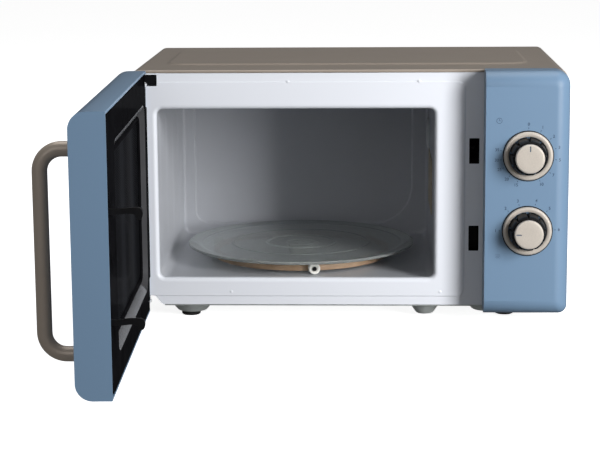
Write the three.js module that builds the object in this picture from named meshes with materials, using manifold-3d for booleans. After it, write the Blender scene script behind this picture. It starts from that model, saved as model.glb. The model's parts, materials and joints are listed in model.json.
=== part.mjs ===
// Compact countertop microwave oven with two dials, a side-hinged door and a glass turntable.
// Millimetres. X runs to the right, Y to the back, Z up. The door stands open at rest.
import * as THREE from 'three';
import { mergeVertices } from 'three/addons/utils/BufferGeometryUtils.js';
import Module from 'manifold-3d';

const wasm = await Module();
wasm.setup();

// ---------------------------------------------------------------- driving dimensions
const CABINET_WIDTH = 440;
const CABINET_DEPTH = 264;
const CABINET_TOP = 258;          // flat part of the cover's top, above the floor
const CABINET_BOTTOM = 14;        // lower edge of the cover's sides
const COVER_CORNER = 9;           // outside bend radius of the cover
const SHEET = 1.2;                // thickness of painted steel sheet
const GAP = 0.3;                  // working gap between touching pieces

const OPENING_LEFT = -193.6;      // cavity opening in the front plate
const OPENING_RIGHT = 87.7;
const OPENING_BOTTOM = 44.3;
const OPENING_TOP = 218.6;
const CAVITY_FLOOR = 42;
const CAVITY_BACK = 256;

const FACE_LEFT = -216.5;         // the pillowed blue face, shared by door and control panel
const FACE_RIGHT = 221;
const FACE_BOTTOM = 13.3;
const FACE_TOP = 259;
const FACE_FRONT = -34;
const FACE_ROUND = 15;            // edge rounding of the blue face
const DOOR_RIGHT = 135.4;         // free edge of the door
const PANEL_LEFT = 137;
const DOOR_BACK = -2;             // inner face of the closed door

const HINGE_X = -209;             // door hinge axis
const HINGE_Y = -9;
const DOOR_OPEN_DEG = 88.5;       // how far the door stands open at rest
const HINGE_PIN_RADIUS = 2.5;

const KNOB_X = 179.2;
const TIMER_Z = 175.4;
const POWER_Z = 100;
const BEZEL_RADIUS = 24.3;
const GRIP_RADIUS = 19;
const CAP_RADIUS = 14.4;
const KNOB_FRONT = -58;

const HOOK_X = 127.7;             // middle of the latch slots
const UPPER_SLOT_Z = 175.4;
const LOWER_SLOT_Z = 85.8;
const SLOT_WIDTH = 10.2;
const SLOT_HEIGHT = 26;

const TURNTABLE_X = (OPENING_LEFT + OPENING_RIGHT) / 2;
const TURNTABLE_Y = 129;
const TURNTABLE_RADIUS = 122.5;
const WHEEL_RADIUS = 6.1;
const WHEEL_TRACK = 99.5;         // distance of the wheels' middles from the turntable's axis

const HANDLE_X = 103;
const HANDLE_TUBE_RADIUS = 7;
const HANDLE_STANDOFF = 28.5;     // door face to tube centreline
const HANDLE_BOTTOM = 47;
const HANDLE_TOP = 223.5;

// ---------------------------------------------------------------- shape helpers
const TURN = 2 * Math.PI;

// A rectangle between two corners, its own corners rounded by radius.
function rectShape(x0, z0, x1, z1, radius = 0) {
  const s = new THREE.Shape();
  if (radius === 0) {
    s.moveTo(x0, z0).lineTo(x1, z0).lineTo(x1, z1).lineTo(x0, z1).closePath();
    return s;
  }
  s.moveTo(x0 + radius, z0);
  s.lineTo(x1 - radius, z0).absarc(x1 - radius, z0 + radius, radius, -TURN / 4, 0);
  s.lineTo(x1, z1 - radius).absarc(x1 - radius, z1 - radius, radius, 0, TURN / 4);
  s.lineTo(x0 + radius, z1).absarc(x0 + radius, z1 - radius, radius, TURN / 4, TURN / 2);
  s.lineTo(x0, z0 + radius).absarc(x0 + radius, z0 + radius, radius, TURN / 2, 3 * TURN / 4);
  return s;
}

// A shape drawn in X and Z, given thickness from y0 (front) to y1 (back).
function slab(shape, y0, y1, curveSegments = 6) {
  const g = new THREE.ExtrudeGeometry(shape, { depth: y1 - y0, bevelEnabled: false, curveSegments });
  return g.rotateX(TURN / 4).translate(0, y1, 0);
}

// A shape drawn in X and Y, given height from z0 to z1.
function column(shape, z0, z1, curveSegments = 6) {
  const g = new THREE.ExtrudeGeometry(shape, { depth: z1 - z0, bevelEnabled: false, curveSegments });
  return g.translate(0, 0, z0);
}

function block(x0, y0, z0, x1, y1, z1) {
  const g = new THREE.BoxGeometry(x1 - x0, y1 - y0, z1 - z0);
  return g.translate((x0 + x1) / 2, (y0 + y1) / 2, (z0 + z1) / 2);
}

function rodX(radius, x0, x1, y, z, sides = 16) {
  const g = new THREE.CylinderGeometry(radius, radius, x1 - x0, sides);
  return g.rotateZ(TURN / 4).translate((x0 + x1) / 2, y, z);
}

function rodY(radius, y0, y1, x, z, sides = 16) {
  const g = new THREE.CylinderGeometry(radius, radius, y1 - y0, sides);
  return g.translate(x, (y0 + y1) / 2, z);
}

function rodZ(radius, z0, z1, x, y, sides = 16) {
  const g = new THREE.CylinderGeometry(radius, radius, z1 - z0, sides);
  return g.rotateX(TURN / 4).translate(x, y, (z0 + z1) / 2);
}

// Turns a profile of [radius, height] points about the Z axis.
function turnedZ(points, x, y, sides = 32) {
  const g = new THREE.LatheGeometry(points.map(([r, h]) => new THREE.Vector2(r, h)), sides);
  return g.rotateX(TURN / 4).translate(x, y, 0);
}

// Turns a profile of [radius, y] points about an axis along Y.
function turnedY(points, x, z, sides = 32) {
  const g = new THREE.LatheGeometry(points.map(([r, h]) => new THREE.Vector2(r, h)), sides);
  return g.translate(x, 0, z);
}

// ---------------------------------------------------------------- joining and cutting
function solid(geometry) {
  const g = geometry.clone();
  g.deleteAttribute('normal');
  g.deleteAttribute('uv');
  const merged = mergeVertices(g, 1e-4);
  const mesh = new wasm.Mesh({
    numProp: 3,
    vertProperties: Float32Array.from(merged.attributes.position.array),
    triVerts: Uint32Array.from(merged.index.array),
  });
  return new wasm.Manifold(mesh);
}

function geometryOf(manifold) {
  const mesh = manifold.getMesh();
  const g = new THREE.BufferGeometry();
  g.setAttribute('position', new THREE.BufferAttribute(mesh.vertProperties, 3));
  g.setIndex(new THREE.BufferAttribute(mesh.triVerts, 1));
  g.computeVertexNormals();
  return g;
}

function join(...geometries) {
  return geometryOf(geometries.map(solid).reduce((a, b) => a.add(b)));
}

function cut(geometry, ...tools) {
  return geometryOf(tools.reduce((body, tool) => body.subtract(solid(tool)), solid(geometry)));
}

function common(geometry, other) {
  return geometryOf(solid(geometry).intersect(solid(other)));
}

// ---------------------------------------------------------------- materials
function finish(color, roughness, metalness = 0) {
  return () => new THREE.MeshStandardMaterial({ color, roughness, metalness });
}

const taupePaint = finish(0x7d736a, 0.35, 0.6);
const bluePlastic = finish(0x7d9bb9, 0.2);
const whiteEnamel = finish(0xe2e5ea, 0.25);
const blackPlastic = finish(0x101113, 0.3);
const darkGlass = finish(0x15171a, 0.05);
const clearGlass = finish(0xb9c4bf, 0.05);
const champagneMetal = finish(0xb9ada0, 0.3, 0.9);
const galvanised = finish(0x9a9c9e, 0.45, 0.9);
const darkSteel = finish(0x5a605f, 0.45, 0.8);
const rubber = finish(0x0c0c0c, 0.8);
const whitePlastic = finish(0xe6e4de, 0.4);
const tanPlastic = finish(0xa88f78, 0.4);
const copperWinding = finish(0x9c5a2c, 0.4, 0.8);
const micaSheet = finish(0xb7ab95, 0.6);
const greenBoard = finish(0x2d5a3a, 0.5);
const brightMetal = finish(0xd0d0d0, 0.2, 1);

const oven = new THREE.Group();

function place(parent, name, geometry, material) {
  const mesh = new THREE.Mesh(geometry, material());
  mesh.name = name;
  parent.add(mesh);
  return mesh;
}

// ---------------------------------------------------------------- cabinet cover
const HALF = CABINET_WIDTH / 2;
const SLOT_PITCH = 9;

function coverSection(inset) {
  const side = HALF - inset;
  const top = CABINET_TOP - inset;
  const radius = COVER_CORNER - inset;
  const s = new THREE.Shape();
  s.moveTo(-side, CABINET_BOTTOM - inset * 2).lineTo(side, CABINET_BOTTOM - inset * 2);
  s.lineTo(side, top - radius).absarc(side - radius, top - radius, radius, 0, TURN / 4);
  s.lineTo(-side + radius, top).absarc(-side + radius, top - radius, radius, TURN / 4, TURN / 2);
  s.closePath();
  return s;
}

function raisedTop() {
  const rise = 1.5;
  const slope = 5;
  const left = -186;
  const right = 182;
  const front = 57;
  const back = 219;
  const shape = rectShape(left, front, right, back, 18);
  const g = new THREE.ExtrudeGeometry(shape, {
    depth: 0.6, bevelThickness: rise, bevelSize: slope, bevelSegments: 1, curveSegments: 4,
  });
  return g.translate(0, 0, CABINET_TOP - 0.6);
}

function sideVents(side, firstY, columns, firstZ, rows) {
  const slots = [];
  for (let c = 0; c < columns; c += 1) {
    for (let r = 0; r < rows; r += 1) {
      const y = firstY + c * 44;
      const z = firstZ + r * SLOT_PITCH;
      slots.push(block(side * HALF - 4, y, z, side * HALF + 4, y + 36, z + 3));
    }
  }
  return slots;
}

function cabinetCover() {
  const wrap = slab(coverSection(0), 0, CABINET_DEPTH, 5);
  const hollow = slab(coverSection(SHEET), 3, CABINET_DEPTH + 1, 5);
  const hemHollow = slab(coverSection(2.8), -1, 4, 5);
  const shell = cut(wrap, hollow, hemHollow);
  return cut(
    join(shell, raisedTop()),
    ...sideVents(1, 150, 2, 70, 8),
    ...sideVents(-1, 196, 1, 150, 6),
  );
}

place(oven, 'cabinet_cover', cabinetCover(), taupePaint);

// ---------------------------------------------------------------- front plate
const PLATE_HALF = HALF - 2.8 - GAP;
const PLATE_BOTTOM = 16.5;
const PLATE_TOP = CABINET_TOP - 2.8 - GAP;
const HINGE_CUT_LEFT = -213.5;
const HINGE_CUT_RIGHT = -200.4;
const HINGE_CUT_HEIGHT = 11.5;
const UPPER_HINGE_Z = 242;
const LOWER_HINGE_Z = 17.2;

function frontPlate() {
  const s = rectShape(-PLATE_HALF, PLATE_BOTTOM, PLATE_HALF, PLATE_TOP, 6);
  s.holes.push(rectShape(OPENING_LEFT, OPENING_BOTTOM, OPENING_RIGHT, OPENING_TOP, 7));
  for (const z of [UPPER_SLOT_Z, LOWER_SLOT_Z]) {
    const w = SLOT_WIDTH / 2;
    const h = SLOT_HEIGHT / 2;
    s.holes.push(rectShape(HOOK_X - w, z - h, HOOK_X + w, z + h));
  }
  for (const z of [TIMER_Z, POWER_Z]) {
    s.holes.push(rectShape(KNOB_X - 25, z - 25, KNOB_X + 25, z + 25, 3));
  }
  for (const z of [UPPER_HINGE_Z, LOWER_HINGE_Z]) {
    s.holes.push(rectShape(HINGE_CUT_LEFT, z, HINGE_CUT_RIGHT, z + HINGE_CUT_HEIGHT));
  }
  return slab(s, 0, SHEET, 4);
}

place(oven, 'front_plate', frontPlate(), whiteEnamel);

// ---------------------------------------------------------------- cavity liner
const CAVITY_LEFT = OPENING_LEFT - 0.6;
const CAVITY_RIGHT = OPENING_RIGHT + 0.6;
const CAVITY_CEILING = OPENING_TOP + 1.6;
const LINER_FRONT = SHEET + GAP;
const HUB_HOLE_RADIUS = 12;
const WAVE_PORT = { y0: 112, y1: 168, z0: 104, z1: 142 };
const LAMP_Y = 206;
const LAMP_Z = 166;

function cavityLiner() {
  const outer = block(
    CAVITY_LEFT - 1, LINER_FRONT, CAVITY_FLOOR - 1, CAVITY_RIGHT + 1, CAVITY_BACK + 1, CAVITY_CEILING + 1,
  );
  const room = rectShape(CAVITY_LEFT, CAVITY_FLOOR, CAVITY_RIGHT, CAVITY_CEILING, 6);
  const inner = slab(room, 0, CAVITY_BACK, 3);
  const hub = rodZ(HUB_HOLE_RADIUS, CAVITY_FLOOR - 5, CAVITY_FLOOR + 5, TURNTABLE_X, TURNTABLE_Y, 24);
  const port = block(
    CAVITY_RIGHT - 1, WAVE_PORT.y0, WAVE_PORT.z0, CAVITY_RIGHT + 4, WAVE_PORT.y1, WAVE_PORT.z1,
  );
  const lampHoles = [rodX(2.4, CAVITY_RIGHT - 2, CAVITY_RIGHT + 4, LAMP_Y, LAMP_Z, 6)];
  for (let i = 0; i < 6; i += 1) {
    const a = (i * TURN) / 6;
    lampHoles.push(rodX(
      2.4, CAVITY_RIGHT - 2, CAVITY_RIGHT + 4, LAMP_Y + 8 * Math.cos(a), LAMP_Z + 8 * Math.sin(a), 6,
    ));
  }
  return cut(outer, inner, hub, port, ...lampHoles);
}

place(oven, 'cavity_liner', cavityLiner(), whiteEnamel);

// ---------------------------------------------------------------- base plate with pressed feet
const BASE_UNDER = 14.6;
const BASE_TOP = BASE_UNDER + SHEET;
const FOOT_BOTTOM = 5;            // underside of the pressed domes
const FEET = {
  foot_front_left: { x: -164.5, y: 29 },
  foot_front_right: { x: 162, y: 36 },
  foot_rear_left: { x: -164.5, y: 236 },
  foot_rear_right: { x: 162, y: 236 },
};
const BUMP = { x: 79, y: 24 };

// A pressed dome: an open-topped thin shell hanging from the sheet.
function pressing(x, y, topRadius, bottomRadius, bottomZ) {
  const t = 1;
  const top = BASE_UNDER + 0.4;
  const midRadius = (topRadius + bottomRadius) / 2 + 1.6;
  const midZ = (BASE_UNDER + bottomZ) / 2;
  return turnedZ([
    [0, bottomZ], [bottomRadius, bottomZ], [midRadius, midZ], [topRadius, BASE_UNDER], [topRadius, top],
    [topRadius - t, top], [midRadius - t, midZ + t], [bottomRadius - t, bottomZ + t], [0, bottomZ + t],
  ], x, y, 16);
}

function basePlate() {
  const half = HALF - SHEET - GAP;
  let sheet = block(-half, 3.4, BASE_UNDER, half, CABINET_DEPTH - SHEET - GAP, BASE_TOP);
  for (const { x, y } of Object.values(FEET)) {
    sheet = join(cut(sheet, rodZ(18.6, 10, 20, x, y, 16)), pressing(x, y, 19.6, 13, FOOT_BOTTOM));
  }
  sheet = join(cut(sheet, rodZ(12.8, 10, 20, BUMP.x, BUMP.y, 16)), pressing(BUMP.x, BUMP.y, 13.8, 6, 5.5));
  return sheet;
}

place(oven, 'base_plate', basePlate(), darkSteel);

for (const [name, { x, y }] of Object.entries(FEET)) {
  const top = FOOT_BOTTOM - GAP;
  place(oven, name, turnedZ([[0, 0], [8.4, 0], [9.8, 1.4], [9.8, top], [0, top]], x, y, 20), rubber);
}

// ---------------------------------------------------------------- rear panel and cord gland
const REAR_FRONT = CABINET_DEPTH - SHEET;
const GLAND_X = 176;
const GLAND_Z = 44;

function ventSlots(x, z, width, rows) {
  const slots = [];
  for (let r = 0; r < rows; r += 1) {
    const low = z + r * SLOT_PITCH;
    slots.push(block(x, REAR_FRONT - 2, low, x + width, CABINET_DEPTH + 2, low + 3.2));
  }
  return slots;
}

function rearPanel() {
  const half = HALF - SHEET - GAP;
  const outline = rectShape(-half, PLATE_BOTTOM, half, CABINET_TOP - SHEET - GAP, COVER_CORNER);
  const sheet = slab(outline, REAR_FRONT, CABINET_DEPTH);
  const glandHole = rodY(6.8, REAR_FRONT - 2, CABINET_DEPTH + 2, GLAND_X, GLAND_Z, 20);
  const fanVents = [104, 138, 172].flatMap((x) => ventSlots(x, 112, 27, 8));
  return cut(sheet, glandHole, ...fanVents, ...ventSlots(-190, 172, 40, 5));
}

place(oven, 'rear_panel', rearPanel(), galvanised);

function cordGland() {
  const back = CABINET_DEPTH + GAP;
  return turnedY([
    [3.6, REAR_FRONT - 5], [6.4, REAR_FRONT - 5], [6.4, back], [9, back], [9, back + 3],
    [6, back + 7], [3.6, back + 7], [3.6, REAR_FRONT - 5],
  ], GLAND_X, GLAND_Z, 20);
}

place(oven, 'cord_gland', cordGland(), blackPlastic);

// ---------------------------------------------------------------- blue face: door shell and control panel
// The whole pillowed face, pulled in all round by inset.
function pillow(inset, y1) {
  const round = FACE_ROUND - inset;
  const core = 2;
  const shape = rectShape(
    FACE_LEFT + FACE_ROUND, FACE_BOTTOM + FACE_ROUND, FACE_RIGHT - FACE_ROUND, FACE_TOP - FACE_ROUND, core,
  );
  const g = new THREE.ExtrudeGeometry(shape, {
    depth: y1 - FACE_FRONT - FACE_ROUND + 20, bevelThickness: round, bevelSize: round, bevelSegments: 4,
    curveSegments: 3,
  });
  g.rotateX(TURN / 4).translate(0, y1 + 20, 0);
  return common(g, block(-400, -200, -100, 400, y1, 400));
}

const WALL = 2.5;
const BAR_TOP = 192;                // top of the latch bar inside the door
const SPRING_TOP = BAR_TOP + 20;
const COVER_LEFT = HINGE_X + 0.6;         // hinge-side edge of the black inner cover
const WINDOW = { x0: -172, z0: 58, x1: 62, z1: 212 };

// Corner of the door cut away so that it swings clear of a hinge arm.
function hingeNotch(z0, z1) {
  return block(FACE_LEFT - 9, HINGE_Y - 6.4, z0, HINGE_X + 7.2, 0, z1);
}

function doorFrame() {
  const back = DOOR_BACK - 0.4;
  const outer = common(pillow(0, back), block(-300, -60, 0, DOOR_RIGHT, 10, 300));
  const pocket = common(pillow(WALL, back + 1), block(-300, -60, 0, DOOR_RIGHT - WALL, 10, 300));
  const shell = cut(outer, pocket);
  const inside = FACE_LEFT + 1.5;
  const railBack = back - 1;
  const inner = [
    block(inside, -14, FACE_BOTTOM + 2, COVER_LEFT - GAP, railBack, FACE_TOP - 2),
    block(inside, -16, FACE_TOP - 36, -197, railBack, FACE_TOP - 1.6),
    block(inside, -16, FACE_BOTTOM + 1.6, -197, railBack, FACE_BOTTOM + 33),
    block(HOOK_X - 5, FACE_FRONT + 1.5, SPRING_TOP + GAP, DOOR_RIGHT - 1, -12, SPRING_TOP + 2.4),
  ];
  const window = slab(rectShape(WINDOW.x0, WINDOW.z0, WINDOW.x1, WINDOW.z1, 14), -60, -20, 5);
  const swing = rodZ(7.6, -10, 300, HINGE_X + 0.1, HINGE_Y, 24);
  const corner = cut(block(-230, HINGE_Y, -10, HINGE_X, 10, 300), swing);
  return cut(
    join(shell, ...inner), window, corner,
    hingeNotch(UPPER_HINGE_Z + 6.5, UPPER_HINGE_Z + 13), hingeNotch(12, LOWER_HINGE_Z + 5),
    rodZ(HINGE_PIN_RADIUS + 0.4, UPPER_HINGE_Z - 6, 252, HINGE_X, HINGE_Y, 12),
    rodZ(HINGE_PIN_RADIUS + 0.4, 18, LOWER_HINGE_Z + 17, HINGE_X, HINGE_Y, 12),
  );
}

// Everything on the door is drawn where it lies when the door is shut.
const door = new THREE.Group();
const shut = new THREE.Group();
door.position.set(HINGE_X, HINGE_Y, 0);
door.rotation.z = THREE.MathUtils.degToRad(-DOOR_OPEN_DEG);
shut.position.set(-HINGE_X, -HINGE_Y, 0);
door.add(shut);
oven.add(door);

place(shut, 'door_frame', doorFrame(), bluePlastic);

const GLASS_FRONT = FACE_FRONT + WALL + GAP;
const GLASS_BACK = GLASS_FRONT + 2.8;
const glassShape = rectShape(WINDOW.x0 - 10, WINDOW.z0 - 10, WINDOW.x1 + 10, WINDOW.z1 + 10, 8);
const glassPane = slab(glassShape, GLASS_FRONT, GLASS_BACK, 3);
place(shut, 'door_glass', glassPane, darkGlass);

function chokeFrame() {
  const shape = (e) => rectShape(-192 + e, 24 + e, 117 - e, 248 - e, 4);
  return cut(slab(shape(0), -27, -10.4, 2), slab(shape(SHEET), -28, -11.6, 2));
}

place(shut, 'choke_frame', chokeFrame(), galvanised);
place(shut, 'window_film', slab(rectShape(-187, 44, 78, 224, 4), -10.1, -9.2, 3), darkGlass);

function chokeCover() {
  const edge = WALL + 0.35;
  const plate = slab(rectShape(
    FACE_LEFT + edge, FACE_BOTTOM + edge, DOOR_RIGHT - edge, FACE_TOP - edge, 3,
  ), -8.8, DOOR_BACK, 3);
  const depth = 6.8;
  const slope = 11;
  const recess = bevelledRecess(-180, 50, 70, 217, slope, depth);
  const slots = [170, 74.5].map((z) => block(HOOK_X - 3.6, -20, z, HOOK_X + 3.6, 0, z + 14));
  const hingeSide = [
    block(FACE_LEFT - 9, -17, FACE_TOP - 37, -196, 0, FACE_TOP + 9),
    block(FACE_LEFT - 9, -17, 0, -196, 0, FACE_BOTTOM + 34),
    block(FACE_LEFT - 9, -20, 0, COVER_LEFT, 0, FACE_TOP + 9),
  ];
  return cut(plate, recess, ...slots, ...hingeSide);
}

// A four-sided recess whose mouth is wider than its bottom by slope on every side.
function bevelledRecess(x0, z0, x1, z1, slope, depth) {
  const through = slab(rectShape(x0, z0, x1, z1, 3), DOOR_BACK - depth - 10, DOOR_BACK + 1, 3);
  const w = x1 - x0;
  const h = z1 - z0;
  const mouth = new THREE.BoxGeometry(w, depth, h).toNonIndexed();
  const p = mouth.attributes.position;
  for (let i = 0; i < p.count; i += 1) {
    if (p.getY(i) > 0) {
      p.setX(i, p.getX(i) + Math.sign(p.getX(i)) * slope);
      p.setZ(i, p.getZ(i) + Math.sign(p.getZ(i)) * slope);
    }
  }
  mouth.translate((x0 + x1) / 2, DOOR_BACK - depth / 2 + 0.01, (z0 + z1) / 2);
  return join(mouth, through);
}

place(shut, 'choke_cover', chokeCover(), blackPlastic);

// ---------------------------------------------------------------- door handle
function doorHandle() {
  const bend = 18;
  const face = FACE_FRONT - GAP;
  const out = FACE_FRONT - HANDLE_STANDOFF;
  const path = new THREE.CurvePath();
  const at = (y, z) => new THREE.Vector3(HANDLE_X, y, z);
  path.add(new THREE.LineCurve3(at(face, HANDLE_BOTTOM), at(out + bend, HANDLE_BOTTOM)));
  path.add(new THREE.QuadraticBezierCurve3(
    at(out + bend, HANDLE_BOTTOM), at(out, HANDLE_BOTTOM), at(out, HANDLE_BOTTOM + bend),
  ));
  path.add(new THREE.LineCurve3(at(out, HANDLE_BOTTOM + bend), at(out, HANDLE_TOP - bend)));
  path.add(new THREE.QuadraticBezierCurve3(
    at(out, HANDLE_TOP - bend), at(out, HANDLE_TOP), at(out + bend, HANDLE_TOP),
  ));
  path.add(new THREE.LineCurve3(at(out + bend, HANDLE_TOP), at(face, HANDLE_TOP)));
  const section = new THREE.Shape();
  section.absarc(0, 0, HANDLE_TUBE_RADIUS, 0, TURN);
  return new THREE.ExtrudeGeometry(section, { steps: 40, extrudePath: path, curveSegments: 5 });
}

place(shut, 'door_handle', doorHandle(), taupePaint);

// ---------------------------------------------------------------- latch bar with two hooks, and its spring
const HOOK_HALF = 2.2;
const HOOK_TIP_Y = 26;

function latchHooks() {
  const x0 = HOOK_X - HOOK_HALF;
  const x1 = HOOK_X + HOOK_HALF;
  const hook = (armZ, noseZ) => join(
    block(x0, -16, armZ, x1, HOOK_TIP_Y - 1, armZ + 5),
    block(x0, HOOK_TIP_Y - 6, noseZ, x1, HOOK_TIP_Y, armZ + 6),
  );
  return join(block(x0, -22, 64, x1, -14, BAR_TOP), hook(172, 167), hook(77.5, 73.4));
}

place(shut, 'latch_hooks', latchHooks(), blackPlastic);
place(shut, 'latch_spring', rodZ(2.8, BAR_TOP + GAP, SPRING_TOP, HOOK_X, -18, 12), brightMetal);

// ---------------------------------------------------------------- hinges
// A tab behind the front plate, an arm through the cut-out, and the pin that the door turns on.
function hinge(armZ, tabLow, pinFrom, pinTo) {
  const tabFront = SHEET + GAP;
  const tab = block(HINGE_CUT_LEFT - 1, tabFront, tabLow, HINGE_CUT_RIGHT + 5, tabFront + 2, tabLow + 9);
  const arm = block(HINGE_X - 4, HINGE_Y - 4, armZ, HINGE_X + 5, SHEET + 1.5, armZ + 2);
  const pin = rodZ(HINGE_PIN_RADIUS, pinFrom, pinTo, HINGE_X, HINGE_Y, 12);
  return join(tab, arm, pin);
}

const UPPER_ARM_Z = UPPER_HINGE_Z + 7.5;
const LOWER_ARM_Z = LOWER_HINGE_Z + 2;
const upperHinge = hinge(UPPER_ARM_Z, UPPER_ARM_Z - 6, UPPER_HINGE_Z - 4, UPPER_ARM_Z + 1);
const lowerHinge = hinge(LOWER_ARM_Z, LOWER_ARM_Z - 2, LOWER_ARM_Z + 1, LOWER_HINGE_Z + 15);
place(oven, 'upper_hinge', upperHinge, brightMetal);
place(oven, 'lower_hinge', lowerHinge, brightMetal);

// ---------------------------------------------------------------- control panel
function controlPanel() {
  const outer = common(pillow(0, -GAP), block(PANEL_LEFT, -60, 0, 400, 10, 300));
  const pocket = common(pillow(WALL, 1), block(PANEL_LEFT + WALL, -60, 0, 400, 10, 300));
  const bores = [TIMER_Z, POWER_Z].map((z) => rodY(5, -60, -20, KNOB_X, z, 16));
  return cut(outer, pocket, ...bores);
}

place(oven, 'control_panel', controlPanel(), bluePlastic);

function bezel(z) {
  const back = FACE_FRONT - GAP;
  const inner = GRIP_RADIUS + 0.6;
  return turnedY([
    [inner, back], [BEZEL_RADIUS, back], [BEZEL_RADIUS, back - 2], [BEZEL_RADIUS - 1.4, back - 3.2],
    [inner, back - 3.2], [inner, back],
  ].reverse(), KNOB_X, z, 32);
}

place(oven, 'timer_bezel', bezel(TIMER_Z), champagneMetal);
place(oven, 'power_bezel', bezel(POWER_Z), champagneMetal);

// ---------------------------------------------------------------- knobs
const GRIP_BACK = FACE_FRONT - 0.8;
const GRIP_FRONT = -53;
const SHAFT_RADIUS = 3;
const SHAFT_END = -20;

function knobGrip(z) {
  const lobes = 8;
  const outline = new THREE.Shape();
  const steps = lobes * 6;
  for (let i = 0; i <= steps; i += 1) {
    const a = (i / steps) * TURN;
    const dip = Math.max(0, Math.cos(a * lobes)) ** 3;
    const r = GRIP_RADIUS - 1.4 * dip;
    const method = i === 0 ? 'moveTo' : 'lineTo';
    outline[method](r * Math.cos(a), r * Math.sin(a));
  }
  const grip = slab(outline, GRIP_FRONT, GRIP_BACK).translate(KNOB_X, 0, z);
  return join(grip, rodY(SHAFT_RADIUS, GRIP_BACK - 1, SHAFT_END, KNOB_X, z, 12));
}

function knobCap(z, pointerTurn) {
  const cap = turnedY([
    [0, GRIP_FRONT - GAP], [CAP_RADIUS, GRIP_FRONT - GAP], [CAP_RADIUS, KNOB_FRONT + 1.2],
    [CAP_RADIUS - 1.2, KNOB_FRONT], [0, KNOB_FRONT],
  ].reverse(), 0, 0, 32);
  const groove = block(-0.6, KNOB_FRONT - 1, 7, 0.6, KNOB_FRONT + 0.5, CAP_RADIUS - 1.6);
  return cut(cap, groove).rotateY(pointerTurn).translate(KNOB_X, 0, z);
}

place(oven, 'timer_knob_grip', knobGrip(TIMER_Z), blackPlastic);
place(oven, 'timer_knob_cap', knobCap(TIMER_Z, 0), champagneMetal);
place(oven, 'power_knob_grip', knobGrip(POWER_Z), blackPlastic);
place(oven, 'power_knob_cap', knobCap(POWER_Z, -TURN / 4), champagneMetal);

// ---------------------------------------------------------------- timer and power selector behind the panel
const DEVICE_FRONT = -28;

function timerUnit() {
  const body = slab(rectShape(KNOB_X - 22, TIMER_Z - 21, KNOB_X + 22, TIMER_Z + 21, 4), DEVICE_FRONT, 2, 2);
  return cut(body, rodY(SHAFT_RADIUS + 0.4, DEVICE_FRONT - 1, SHAFT_END + 2, KNOB_X, TIMER_Z, 12));
}

place(oven, 'timer_unit', timerUnit(), galvanised);
place(oven, 'timer_bell', turnedY([
  [0, 2.3], [4, 2.3], [16, 5], [17.5, 12], [16.3, 12], [14.8, 6.2], [3.5, 3.6], [0, 3.6],
], KNOB_X, TIMER_Z, 20), brightMetal);

function powerSelector() {
  const body = rodY(19, DEVICE_FRONT, -4, KNOB_X, POWER_Z, 20);
  const terminals = block(KNOB_X - 10, -6, POWER_Z - 12, KNOB_X + 10, 4, POWER_Z + 12);
  const bore = rodY(SHAFT_RADIUS + 0.4, DEVICE_FRONT - 1, SHAFT_END + 2, KNOB_X, POWER_Z, 12);
  return cut(join(body, terminals), bore);
}

place(oven, 'power_selector', powerSelector(), blackPlastic);

// ---------------------------------------------------------------- latch bracket, switches and lever
const BRACKET = { x0: 118, x1: 137.4, y1: 34, z0: 56, z1: 202 };
const LEVER_PIVOT_Y = 28;
const LEVER_PIVOT_Z = 96;

function latchBracket() {
  const { x0, x1, y1, z0, z1 } = BRACKET;
  const t = 2.2;
  const box = block(x0, SHEET + GAP, z0, x1, y1, z1);
  const hollow = block(x0 + t, 0, z0 + t, x1 - t, y1 - t, z1 - t);
  const ledges = [
    block(x0 + 1, 8, 160, x1 - 1, 15, 166.4),
    block(x0 + 1, 8, 66, x1 - 1, 15, 72.6),
  ];
  const leverPin = rodX(1.5, x0 + 1, x1 - 1, LEVER_PIVOT_Y, LEVER_PIVOT_Z, 10);
  const holes = [
    rodY(2.4, y1 - 4, y1 + 2, HOOK_X, 175, 10),
    rodY(2.4, y1 - 4, y1 + 2, HOOK_X, 84, 10),
    rodY(2.4, y1 - 4, y1 + 2, HOOK_X, 68, 10),
  ];
  return cut(join(cut(box, hollow), ...ledges, leverPin), ...holes);
}

place(oven, 'latch_bracket', latchBracket(), whitePlastic);

// A switch behind the bracket, its plunger pointing forward through the bracket's back wall.
function microSwitch(z) {
  const y0 = BRACKET.y1 + GAP;
  const body = block(HOOK_X - 5, y0, z - 5.5, HOOK_X + 5, y0 + 16, z + 5.5);
  return cut(body, rodY(1.9, y0 - 1, y0 + 6, HOOK_X, z, 10));
}

function plunger(z, front) {
  return rodY(1.5, front, BRACKET.y1 + 3, HOOK_X, z, 10);
}

const SWITCHES = [
  { name: 'primary', z: 175, front: 27.4 },
  { name: 'secondary', z: 84, front: LEVER_PIVOT_Y + 1.4 },
  { name: 'monitor', z: 68, front: LEVER_PIVOT_Y + 1.4 },
];
for (const { name, z, front } of SWITCHES) {
  place(oven, `${name}_switch`, microSwitch(z), blackPlastic);
  place(oven, `${name}_plunger`, plunger(z, front), whitePlastic);
}

function interlockLever() {
  const y = LEVER_PIVOT_Y;
  const z = LEVER_PIVOT_Z;
  const eye = rodX(3.2, HOOK_X - 5, HOOK_X + 5, y, z, 16);
  const blade = block(HOOK_X - 5, y - 1.1, 62, HOOK_X + 5, y + 1.1, z);
  return cut(join(eye, blade), rodX(1.8, HOOK_X - 9, HOOK_X + 9, y, z, 12));
}

place(oven, 'interlock_lever', interlockLever(), whitePlastic);

// ---------------------------------------------------------------- turntable, roller ring and drive
const AXLE_Z = CAVITY_FLOOR + WHEEL_RADIUS + 0.1;
const PLATE_UNDER = AXLE_Z + WHEEL_RADIUS + GAP;

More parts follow.
